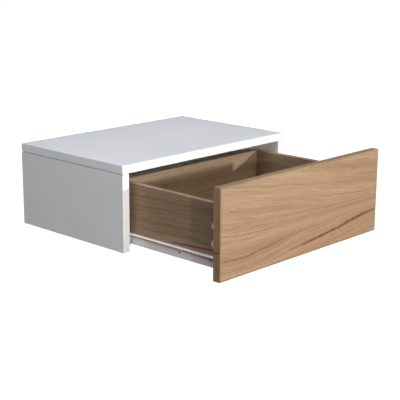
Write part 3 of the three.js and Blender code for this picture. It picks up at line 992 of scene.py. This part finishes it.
def with_joint_gap(bm, hand):
    """Opens the narrow gap under the top, on a side's outside and at its front."""
    sizes, _, _ = settings()
    sign = HANDS[hand]
    low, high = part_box(f"side_panel_{hand}")
    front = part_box(f"side_front_edging_{hand}")[0][Y]
    _, outer = inner_outer(f"side_panel_{hand}", sign)
    across = sorted((outer - sign * JOINT_GAP_DEPTH, outer + sign * OVERRUN))
    cuts = (
        (across, high[Y] + OVERRUN, sizes.joint_gap),
        ((low[X] - OVERRUN, high[X] + OVERRUN), front + FRONT_GAP_DEPTH, FRONT_GAP),
    )
    for (left, right), rear, height in cuts:
        first = (left, front - OVERRUN, high[Z] - height)
        bm = carved(bm, slab(bmesh.new(), first, (right, rear, high[Z] + OVERRUN)))
    return bm


def build_sides():
    for hand, sign in HANDS.items():
        node = f"side_panel_{hand}"
        inner, _ = inner_outer(node, sign)
        cams = [f"top_cam_{hand}_{end}" for end in ("front", "rear")]
        bm = carved(fitted(node, "-Y", "-Z"), cam_bores(cams, (sign, 0, 0), "carcass", inner))
        white_board(f"side_board_{hand}", node, with_joint_gap(bm, hand), "+Y")
        node = f"side_front_edging_{hand}"
        white_band(f"side_band_front_{hand}", node, with_joint_gap(fitted(node, "+Y"), hand))
        node = f"side_bottom_edging_{hand}"
        white_band(f"side_band_low_{hand}", node, fitted(node, "+Z", "-Y"))


WALL_HOLE = 3 * MM
WALL_HOLE_X = 140 * MM
WALL_HOLE_HEIGHT = 110 * MM


def build_back():
    low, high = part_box("back_panel")
    cams = [f"back_cam_{hand}" for hand in HANDS]
    tools = cam_bores(cams, (0, 1, 0), "carcass", low[Y])
    for sign in HANDS.values():
        mouth = (sign * WALL_HOLE_X, low[Y], low[Z] + WALL_HOLE_HEIGHT)
        bore_tool(tools, WALL_HOLE, mouth, (0, 1, 0), high[Y] - low[Y] + OVERRUN)
    bm = carved(fitted("back_panel", "-X", "+X", "+Z"), tools)
    white_board("back_board", "back_panel", bm, "-Z")


# Fittings


def cam_joints():
    """Each cam joint's board, place and body, how its cam goes in, and where its bolt is."""
    joints = []
    for hand, sign in HANDS.items():
        for end in ("front", "rear"):
            joints.append(("top", f"{hand}_{end}", "carcass", (sign, 0, 0), (0, 0, 1)))
        joints.append(("back", hand, "carcass", (0, 1, 0), (sign, 0, 0)))
        for level in ("upper", "lower"):
            joints.append(("drawer", f"{hand}_{level}", "drawer", (-sign, 0, 0), (0, -1, 0)))
    return joints


def cam_drum(face, inward, bolt_from, kind):
    """A cam drum with a dished face, a crossed recess and the slot that the bolt's head enters."""
    radius = CAM_BORE - CAM_PLAY
    depth = CAM_BORE_DEPTH[kind] - CAM_END_PLAY
    rows = [
        (0, CAM_DISH),
        (CAM_DISH_RADIUS - CAM_RIM, CAM_DISH),
        (CAM_DISH_RADIUS, 0),
        (radius - CAM_RIM, 0),
        (radius, CAM_RIM),
        (radius, depth - CAM_RIM),
        (radius - CAM_RIM, depth),
        (0, depth),
    ]
    drum = turned(bmesh.new(), rows, face, inward, ROUND_SIDES)
    slot = CAM_SLOT[kind]
    start = Vector(face) + Vector(inward) * CAM_AXIS_IN[kind] - Vector(bolt_from) * slot
    rows = [(0, 0), (slot, 0), (slot, 2 * radius), (0, 2 * radius)]
    drum = carved(drum, turned(bmesh.new(), rows, start, bolt_from))
    dish = Vector(face) + Vector(inward) * CAM_DISH
    return carved(drum, cross_tool(bmesh.new(), dish, inward, CAM_CROSS))


def inner_face(node, inward):
    """The middle of the side of a node's box that a shape starts from."""
    low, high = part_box(node)
    middle = middle_of(node)
    axis = main_axis(inward)
    middle[axis] = low[axis] if inward[axis] > 0 else high[axis]
    return middle


def build_cams():
    for side, place, body, inward, bolt_from in cam_joints():
        node = f"{side}_cam_{place}"
        drum = cam_drum(inner_face(node, inward), inward, bolt_from, body)
        new_piece(f"{side}_drum_{place}", drum, finishes("cast_zinc"), body, [node])


def thread_rows(start, end, core, crest, pitch):
    """Rows of a helical thread between two distances along a screw, fading out at both."""
    count = max(2, round((end - start) / pitch * THREAD_ROWS))
    rows = []
    for step in range(count + 1):
        along = start + (end - start) * step / count
        fade = min(1.0, step / THREAD_ROWS, (count - step) / THREAD_ROWS)

        def radius(share, along=along, fade=fade):
            phase = (along / pitch - share) % 1.0
            return core + (crest - core) * fade * (1 - abs(2 * phase - 1))

        rows.append((radius, along))
    return rows


def bolt(tip, direction, total):
    """A connecting bolt: coarse thread, shank, and the neck and head that the cam pulls on."""
    sizes, _, _ = settings()
    neck_end = total - BOLT_HEAD - BOLT_SLOPE
    neck_start = neck_end - BOLT_NECK_LENGTH
    rows = [(0, 0), (BOLT_TIP, 0)]
    core = BOLT_SHANK - BOLT_THREAD_DEPTH
    pitch = sizes.thread_pitch * BOLT_COARSENESS
    rows += thread_rows(BOLT_ROUNDING, BOLT_THREAD, core, BOLT_SHANK, pitch)
    rows += [
        (BOLT_SHANK, BOLT_THREAD + BOLT_THREAD_END),
        (BOLT_SHANK, neck_start - BOLT_SLOPE),
        (BOLT_NECK, neck_start),
        (BOLT_NECK, neck_end),
        (BOLT_SHANK, neck_end + BOLT_SLOPE),
        (BOLT_SHANK, total - BOLT_ROUNDING),
        (BOLT_SHANK - BOLT_ROUNDING, total - BOLT_ROUNDING * 0.3),
        (0, total),
    ]
    return turned(bmesh.new(), rows, tip, direction)


def build_bolts():
    for side, place, body, _, bolt_from in cam_joints():
        node = f"{side}_bolt_{place}"
        low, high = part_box(node)
        direction = tuple(-part for part in bolt_from)
        shape = bolt(inner_face(node, direction), direction, max(high - low))
        name = f"{side}_connector_{place}"
        new_piece(name, shape, finishes("plated_steel"), body, [node])


def threaded(rows, start, total, point, shank):
    """Adds a screw's thread and its point to the rows of its head."""
    sizes, _, _ = settings()
    core = shank - sizes.thread_depth
    rows += thread_rows(start, total - point, core, shank, sizes.thread_pitch)
    rows.append((0, total))
    return rows


def pan_screw(head, direction, total):
    """A pan-head screw from the top of its head to its point."""
    seat = SCREW_HEAD_HEIGHT
    rows = [(0, 0)]
    rows += [(SCREW_HEAD * share, along) for share, along in SCREW_DOME]
    rows += [(SCREW_HEAD, seat), (SCREW_SHANK - SCREW_NECK, seat)]
    rows = threaded(rows, seat + SCREW_NECK, total, SCREW_POINT, SCREW_SHANK)
    screw = turned(bmesh.new(), rows, head, direction)
    return carved(screw, cross_tool(bmesh.new(), head, direction, SCREW_CROSS))


def sunk_screw(head, direction, total):
    """A countersunk screw from its flat head to its point."""
    rows = [
        (0, 0),
        (SUNK_HEAD - SUNK_RIM, 0),
        (SUNK_HEAD, SUNK_RIM),
        (SUNK_HEAD, SUNK_RIM + SUNK_WALL),
        (SUNK_SHANK, SUNK_DEPTH - SUNK_RIM),
        (SUNK_SHANK - SCREW_NECK, SUNK_DEPTH + SKIM),
    ]
    rows = threaded(rows, SUNK_DEPTH + 2 * SCREW_NECK, total, SUNK_POINT, SUNK_SHANK)
    screw = turned(bmesh.new(), rows, head, direction)
    return carved(screw, cross_tool(bmesh.new(), head, direction, SUNK_CROSS))


def in_recess(head, direction):
    """Says whether a face of a screw is inside its cross, where it is painted dark as painted shade.
    """
    skin = 0.25 * MM
    deepest = SCREW_CROSS["depth"] + 0.5 * MM
    steepest = -0.2

    def is_inside(face):
        place = face.calc_center_median() - head
        along = place.dot(Vector(direction))
        from_axis = (place - along * Vector(direction)).length
        outward = -face.normal.dot(Vector(direction))
        near = skin < along < deepest and from_axis < SCREW_CROSS["half"]
        return near and outward > steepest

    return is_inside


def build_screws():
    for hand, sign in HANDS.items():
        jobs = []
        for end in ("front", "rear"):
            jobs.append((f"cabinet_slide_screw_{hand}_{end}", "carcass", (sign, 0, 0), pan_screw))
            jobs.append((f"drawer_slide_screw_{hand}_{end}", "drawer", (-sign, 0, 0), pan_screw))
        for level in ("upper", "lower"):
            jobs.append((f"drawer_back_screw_{hand}_{level}", "drawer", (-sign, 0, 0), sunk_screw))
        for node, body, direction, maker in jobs:
            low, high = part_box(node)
            head = inner_face(node, direction)
            new_piece(
                node.replace("_screw_", "_fixing_"), maker(head, direction, high[X] - low[X]),
                finishes("plated_steel", "screw_recess"), body, [node],
                in_recess(head, direction),
            )


# Slides


def rivet_pin(start, direction, total):
    """The pin of a roller, with a domed riveted head."""
    seat = total - RIVET_HEIGHT
    rows = [(0, 0), (PIN, 0), (PIN, seat), (RIVET - RIVET_LIP, seat)]
    rows += [(RIVET * share, total - RIVET_HEIGHT * down) for share, down in RIVET_DOME]
    rows.append((0, total))
    return turned(bmesh.new(), rows, start, direction)


def screw_holes(kind, hand):
    """Y, Z and radius of the holes for a slide's screws."""
    middles = [middle_of(f"{kind}_slide_screw_{hand}_{end}") for end in ("front", "rear")]
    return [(middle[Y], middle[Z], SCREW_SHANK + SCREW_PLAY) for middle in middles]


def folded_rail(node, foot, plane, away, lip):
    """A rail's folded steel: a foot below, a web on a plane across X, and a lip above.

    The web faces away from its plane, to the left for -1 or to the right for 1.
    """
    sizes, _, _ = settings()
    low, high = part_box(node)
    web = plane + away * STEEL / 2
    bottom, top = low[Z] + STEEL / 2, high[Z] - STEEL / 2
    corners = [(foot, bottom), (web, bottom), (web, top), (lip, top)]
    return folded(corners, sizes.steel_bend, STEEL, low[Y], high[Y])


def finished_rail(bm, plane, away, holes, roller, reach):
    """Drills a rail's web, softens its edges and adds the pin of its roller."""
    sizes, _, _ = settings()
    tools = bmesh.new()
    for along, height, radius in holes:
        mouth = (plane + away * (STEEL + SKIM), along, height)
        bore_tool(tools, radius, mouth, (-away, 0, 0), WEB_BORE_DEPTH, WEB_CHAMFER, FINE_SIDES)
    bm = softened(carved(bm, tools), sizes.steel_break)
    middle = middle_of(roller)
    start = (plane + away * STEEL / 2, middle[Y], middle[Z])
    pin = rivet_pin(start, (away, 0, 0), abs(plane - reach) - STEEL / 2)
    return merged(bm, pin)


def build_channels():
    """The carcass halves of the slides."""
    sizes, _, _ = settings()
    for hand, sign in HANDS.items():
        node = f"cabinet_slide_{hand}"
        roller = f"front_roller_{hand}"
        low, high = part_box(node)
        inner, wall = inner_outer(node, sign)
        lip = wall - sign * CHANNEL_LIP
        bm = folded_rail(node, lip, wall, -sign, lip)
        _, roller_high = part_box(roller)
        left, right = sorted((wall - sign * STEEL, lip - sign * OVERRUN))
        no_flange = slab(
            bmesh.new(),
            (left, low[Y] - OVERRUN, high[Z] - STEEL - sizes.steel_bend * 2),
            (right, roller_high[Y] + FLANGE_START, high[Z] + OVERRUN),
        )
        holes = screw_holes("cabinet", hand)
        bm = finished_rail(carved(bm, no_flange), wall, -sign, holes, roller, inner)
        new_piece(f"channel_{hand}", bm, finishes("coated_steel"), "carcass", [node])


def build_runners():
    """The drawer halves of the slides, which carry the drawer's sides on a foot."""
    for hand, sign in HANDS.items():
        node = f"drawer_slide_{hand}"
        low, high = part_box(node)
        _, reach = inner_outer(node, sign)
        box_in, box_out = inner_outer(f"drawer_side_{hand}", sign)
        bm = folded_rail(node, box_in, box_out, sign, box_out + sign * (STEEL + RUNNER_LIP))
        holes = screw_holes("drawer", hand)
        holes.append((low[Y] + SPARE_HOLE_BACK, low[Z] + SPARE_HOLE_UP, SPARE_HOLE))
        bm = finished_rail(bm, box_out, sign, holes, f"rear_roller_{hand}", reach)
        # Faces above this height take the paler steel: a painted highlight along the upper flange
        flange = high[Z] - STEEL - SKIM
        new_piece(
            f"runner_{hand}", bm, finishes("coated_steel", "painted_highlight_steel"), "drawer", [node],
            lambda face: face.calc_center_median().z > flange,
        )


def build_rollers():
    for hand in HANDS:
        for end in ("front", "rear"):
            node = f"{end}_roller_{hand}"
            low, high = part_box(node)
            radius = (high[Z] - low[Z]) / 2
            width = high[X] - low[X]
            half = [
                (ROLLER_BORE, 0),
                (ROLLER_HUB, 0),
                (ROLLER_HUB + ROLLER_SLOPE, ROLLER_DISH),
                (radius - ROLLER_RIM - ROLLER_SLOPE, ROLLER_DISH),
                (radius - ROLLER_RIM, 0),
            ]
            half += [(radius - inset, along) for inset, along in ROLLER_EDGE]
            rows = half + [(reach, width - along) for reach, along in reversed(half)]
            start = middle_of(node)
            start[X] = low[X]
            wheel = turned(bmesh.new(), rows, start, (1, 0, 0), ROUND_SIDES, ring_shaped=True)
            new_piece(f"{end}_wheel_{hand}", wheel, finishes("nylon"), node, [node])


# Drawer

GROOVE_DEPTH = 4 * MM
GROOVE_PLAY = 0.25 * MM
PAINTED_RIM_HEIGHT = 0.8 * MM
BOTTOM_ROUNDING = 0.3 * MM


def with_groove(bm, low, high):
    """Cuts the groove that holds the thin bottom, between two corners in X and Y."""
    bottom_low, bottom_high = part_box("drawer_bottom")
    first = (low[X], low[Y], bottom_low[Z] - GROOVE_PLAY)
    second = (high[X], high[Y], bottom_high[Z] + GROOVE_PLAY)
    return carved(bm, slab(bmesh.new(), first, second))


def build_front():
    low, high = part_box("drawer_front")
    inner, _ = inner_outer("drawer_side_right", 1)
    reach = inner + GROOVE_DEPTH
    bm = fitted("drawer_front", "-X", "+X", "-Z", "+Z")
    bm = with_groove(bm, (-reach, high[Y] - GROOVE_DEPTH), (reach, high[Y] + OVERRUN))
    new_piece(
        "front_board", bm, finishes("oak_front", "chipboard_core"), "drawer", ["drawer_front"],
        raw_side(low, high),
    )
    bands = {
        "top": ("oak_band_level", ("-Z", "-X", "+X")),
        "bottom": ("oak_band_low", ("+Z", "-X", "+X")),
        "left": ("oak_band_upright", ("+X",)),
        "right": ("oak_band_right", ("-X",)),
    }
    for place, (finish, glued) in bands.items():
        node = f"front_edging_{place}"
        bm = fitted(node, *glued)
        new_piece(f"front_band_{place}", bm, finishes(finish), "drawer", [node])


def box_board(name, node, bm, look):
    """A board of the drawer box: its face, its raw core, and its upper rim, which is painted paler as
    painted light.
    """
    low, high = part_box(node)
    is_raw = raw_side(low, high, "-Z")

    def look_of(face):
        on_rim = face.calc_center_median().z > high[Z] - PAINTED_RIM_HEIGHT
        return 2 if on_rim else is_raw(face)

    looks = finishes(f"oak_box_{look}", "chipboard_core", f"oak_{look}_rim")
    new_piece(name, bm, looks, "drawer", [node], look_of)


def build_drawer_box():
    for hand, sign in HANDS.items():
        node = f"drawer_side_{hand}"
        low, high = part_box(node)
        inner, outer = inner_outer(node, sign)
        cams = [f"drawer_cam_{hand}_{level}" for level in ("upper", "lower")]
        tools = cam_bores(cams, (-sign, 0, 0), "drawer", outer)
        for level in ("upper", "lower"):
            middle = middle_of(f"drawer_back_screw_{hand}_{level}")
            mouth = (outer, middle[Y], middle[Z])
            bore_tool(tools, SUNK_HEAD + SCREW_PLAY, mouth, (-sign, 0, 0), SUNK_DEPTH + SUNK_RIM)
        bm = carved(fitted(node, "-Y"), tools)
        left, right = sorted((inner - sign * OVERRUN, inner + sign * GROOVE_DEPTH))
        bm = with_groove(bm, (left, low[Y] - OVERRUN), (right, high[Y] + OVERRUN))
        box_board(f"box_side_{hand}", node, bm, "side")
    low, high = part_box("drawer_back")
    bm = fitted("drawer_back", "-X", "+X")
    ends = low[X] - OVERRUN, high[X] + OVERRUN
    bm = with_groove(bm, (ends[0], low[Y] - OVERRUN), (ends[1], low[Y] + GROOVE_DEPTH))
    box_board("box_back", "drawer_back", bm, "back")
    bm = board(*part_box("drawer_bottom"), radius=BOTTOM_ROUNDING)
    new_piece(
        "box_bottom", bm, finishes("oak_bottom", "hardboard"), "drawer", ["drawer_bottom"],
        lambda face: face.normal.z < 0.5,
    )


# Studio

CAMERA_PLACE = (-1.4763, -1.6755, 0.4969)
CAMERA_AZIMUTH = math.radians(46.530)
CAMERA_ELEVATION = math.radians(14.439)
CAMERA_ROLL = math.radians(0.307)
SENSOR_WIDTH = 36.0
LIGHT_AIM = Vector((0.0, -0.3, 0.0))


def build_camera(studio):
    scene = bpy.context.scene
    data = bpy.data.cameras.new("camera")
    data.lens = studio.lens
    data.sensor_width = SENSOR_WIDTH
    ahead = Vector((
        math.sin(CAMERA_AZIMUTH) * math.cos(CAMERA_ELEVATION),
        math.cos(CAMERA_AZIMUTH) * math.cos(CAMERA_ELEVATION),
        -math.sin(CAMERA_ELEVATION),
    ))
    level = Vector((math.cos(CAMERA_AZIMUTH), -math.sin(CAMERA_AZIMUTH), 0))
    upright = level.cross(ahead)
    right = level * math.cos(CAMERA_ROLL) + upright * math.sin(CAMERA_ROLL)
    up = upright * math.cos(CAMERA_ROLL) - level * math.sin(CAMERA_ROLL)
    camera = bpy.data.objects.new("camera", data)
    scene.collection.objects.link(camera)
    place = Matrix((right, up, -ahead)).transposed().to_4x4()
    place.translation = CAMERA_PLACE
    camera.matrix_world = place
    scene.camera = camera


# The lamps: azimuth, elevation, distance, width and height, and tint. Azimuth 0 is straight in
# front of the nightstand and 90 is to its right. The studio's settings say how strong each is.
LAMPS = {
    "key": (25.5, 10.8, 4.0, (0.09, 0.09), (0.98, 1.0, 0.97)),
    "fill": (-21.6, 13.2, 4.0, (0.17, 0.17), (0.91, 1.0, 1.02)),
    "low": (-25, 2, 3.5, (4.0, 2.0), (1.31, 1.0, 0.82)),
    "front": (0, 50, 4.0, (2.0, 2.0), (1.03, 1.0, 0.90)),
    "overhead": (0, 84, 3.0, (1.6, 1.6), (1.02, 1.0, 1.27)),
    "high": (-75, 50, 3.5, (2.4, 2.4), (0.89, 1.0, 1.11)),
    "rear": (180, -1.5, 4.0, (0.4, 0.5), (1.0, 1.0, 1.0)),
    "rear_right": (140, -2, 4.0, (1.0, 0.6), (1.0, 1.0, 1.0)),
    "under": (100, -50, 3.5, (1.2, 1.2), (1.0, 1.0, 1.0)),
}


def build_lamp(name, strength):
    """A lamp that faces the nightstand; its strength is how bright a white surface gets in it."""
    azimuth, elevation, distance, size, tint = LAMPS[name]
    turn, rise = math.radians(azimuth), math.radians(elevation)
    away = Vector((
        math.sin(turn) * math.cos(rise),
        -math.cos(turn) * math.cos(rise),
        math.sin(rise),
    ))
    data = bpy.data.lights.new(name, "AREA")
    data.shape = "RECTANGLE"
    data.size, data.size_y = size
    data.energy = strength * math.pi ** 2 * distance ** 2
    data.color = tint
    lamp = bpy.data.objects.new(name, data)
    bpy.context.scene.collection.objects.link(lamp)
    lamp.location = LIGHT_AIM + away * distance
    lamp.rotation_mode = "QUATERNION"
    lamp.rotation_quaternion = away.to_track_quat("Z", "Y")
    lamp.visible_camera = False


FLAT_RINGS = (0, 0.2, 0.6)
COVE_CURVE = 0.4
COVE_WALL = 1.6
COVE_STEPS = 12


def build_floor(studio):
    """A wide pale floor that curves up into a wall all round, seen by the camera alone."""
    flat = studio.cove
    curve = flat * COVE_CURVE
    rows = [(flat * share, 0) for share in FLAT_RINGS]
    for step in range(COVE_STEPS + 1):
        angle = math.pi / 2 * step / COVE_STEPS
        rows.append((flat + curve * math.sin(angle), curve * (1 - math.cos(angle))))
    rows.append((flat + curve, flat * COVE_WALL))
    bm = turned(bmesh.new(), rows, (0, 0, -studio.floor_drop), (0, 0, 1), FLOOR_SIDES)
    mesh = bpy.data.meshes.new("floor")
    bm.to_mesh(mesh)
    bm.free()
    mesh.shade_smooth()
    mesh.materials.append(studio_floor("pale_floor"))
    floor = bpy.data.objects.new("floor", mesh)
    bpy.context.scene.collection.objects.link(floor)
    for ray in ("diffuse", "glossy", "transmission", "shadow"):
        setattr(floor, f"visible_{ray}", False)


SKY_TINT = (0.985, 0.99, 1.0, 1.0)


def build_studio():
    _, _, studio = settings()
    scene = bpy.context.scene
    scene.view_settings.view_transform = "Standard"
    world = bpy.data.worlds.new("studio")
    world.use_nodes = True
    sky = world.node_tree.nodes["Background"]
    sky.inputs["Color"].default_value = SKY_TINT
    sky.inputs["Strength"].default_value = studio.ambient
    scene.world = world
    build_camera(studio)
    build_floor(studio)
    for name in LAMPS:
        build_lamp(name, getattr(studio, name))


# Operators


class NIGHTSTAND_OT_top(bpy.types.Operator):
    """Build the top board and its three bands"""

    bl_idname = "nightstand.top"
    bl_label = "Top"

    def execute(self, context):
        build_top()
        return {"FINISHED"}


class NIGHTSTAND_OT_sides(bpy.types.Operator):
    """Build the two side boards and their bands"""

    bl_idname = "nightstand.sides"
    bl_label = "Sides"

    def execute(self, context):
        build_sides()
        return {"FINISHED"}


class NIGHTSTAND_OT_back(bpy.types.Operator):
    """Build the back board that hangs on the wall"""

    bl_idname = "nightstand.back"
    bl_label = "Back"

    def execute(self, context):
        build_back()
        return {"FINISHED"}


class NIGHTSTAND_OT_front(bpy.types.Operator):
    """Build the oak drawer front and its four bands"""

    bl_idname = "nightstand.front"
    bl_label = "Drawer front"

    def execute(self, context):
        build_front()
        return {"FINISHED"}


class NIGHTSTAND_OT_box(bpy.types.Operator):
    """Build the drawer's sides, back and bottom"""

    bl_idname = "nightstand.box"
    bl_label = "Drawer box"

    def execute(self, context):
        build_drawer_box()
        return {"FINISHED"}


class NIGHTSTAND_OT_channels(bpy.types.Operator):
    """Build the slide halves on the carcass"""

    bl_idname = "nightstand.channels"
    bl_label = "Carcass slides"

    def execute(self, context):
        build_channels()
        return {"FINISHED"}


class NIGHTSTAND_OT_runners(bpy.types.Operator):
    """Build the slide halves on the drawer"""

    bl_idname = "nightstand.runners"
    bl_label = "Drawer slides"

    def execute(self, context):
        build_runners()
        return {"FINISHED"}


class NIGHTSTAND_OT_rollers(bpy.types.Operator):
    """Build the four nylon rollers"""

    bl_idname = "nightstand.rollers"
    bl_label = "Rollers"

    def execute(self, context):
        build_rollers()
        return {"FINISHED"}


class NIGHTSTAND_OT_cams(bpy.types.Operator):
    """Build the cam drums"""

    bl_idname = "nightstand.cams"
    bl_label = "Cams"

    def execute(self, context):
        build_cams()
        return {"FINISHED"}


class NIGHTSTAND_OT_bolts(bpy.types.Operator):
    """Build the bolts that the cams pull on"""

    bl_idname = "nightstand.bolts"
    bl_label = "Connecting bolts"

    def execute(self, context):
        build_bolts()
        return {"FINISHED"}


class NIGHTSTAND_OT_screws(bpy.types.Operator):
    """Build the screws of the slides and of the drawer's back"""

    bl_idname = "nightstand.screws"
    bl_label = "Screws"

    def execute(self, context):
        build_screws()
        return {"FINISHED"}


class NIGHTSTAND_OT_studio(bpy.types.Operator):
    """Set up the floor, the light and the camera"""

    bl_idname = "nightstand.studio"
    bl_label = "Studio"

    def execute(self, context):
        build_studio()
        return {"FINISHED"}


OPERATORS = (
    NIGHTSTAND_OT_studio,
    NIGHTSTAND_OT_top,
    NIGHTSTAND_OT_sides,
    NIGHTSTAND_OT_back,
    NIGHTSTAND_OT_channels,
    NIGHTSTAND_OT_front,
    NIGHTSTAND_OT_box,
    NIGHTSTAND_OT_runners,
    NIGHTSTAND_OT_rollers,
    NIGHTSTAND_OT_cams,
    NIGHTSTAND_OT_bolts,
    NIGHTSTAND_OT_screws,
)


GROUPS = {
    "nightstand_sizes": NightstandSizes,
    "nightstand_finishes": NightstandFinishes,
    "nightstand_studio": NightstandStudio,
}


class NIGHTSTAND_PT_panel(bpy.types.Panel):
    """Lists what can be built, with its settings"""

    bl_label = "Floating nightstand"
    bl_idname = "NIGHTSTAND_PT_panel"
    bl_space_type = "VIEW_3D"
    bl_region_type = "UI"
    bl_category = "Nightstand"

    def draw(self, context):
        column = self.layout.column()
        for operator in OPERATORS:
            column.operator(operator.bl_idname)
        for key in GROUPS:
            group = getattr(context.scene, key)
            box = self.layout.box()
            for name in group.__annotations__:
                box.prop(group, name)


def register():
    for group in GROUPS.values():
        bpy.utils.register_class(group)
    for name, group in GROUPS.items():
        setattr(bpy.types.Scene, name, PointerProperty(type=group))
    for operator in OPERATORS:
        bpy.utils.register_class(operator)
    bpy.utils.register_class(NIGHTSTAND_PT_panel)


def unregister():
    bpy.utils.unregister_class(NIGHTSTAND_PT_panel)
    for operator in reversed(OPERATORS):
        bpy.utils.unregister_class(operator)
    for name in GROUPS:
        delattr(bpy.types.Scene, name)
    for group in reversed(GROUPS.values()):
        bpy.utils.unregister_class(group)


def main():
    register()
    for operator in OPERATORS:
        group, name = operator.bl_idname.split(".")
        getattr(getattr(bpy.ops, group), name)()


if __name__ == "__main__":
    main()
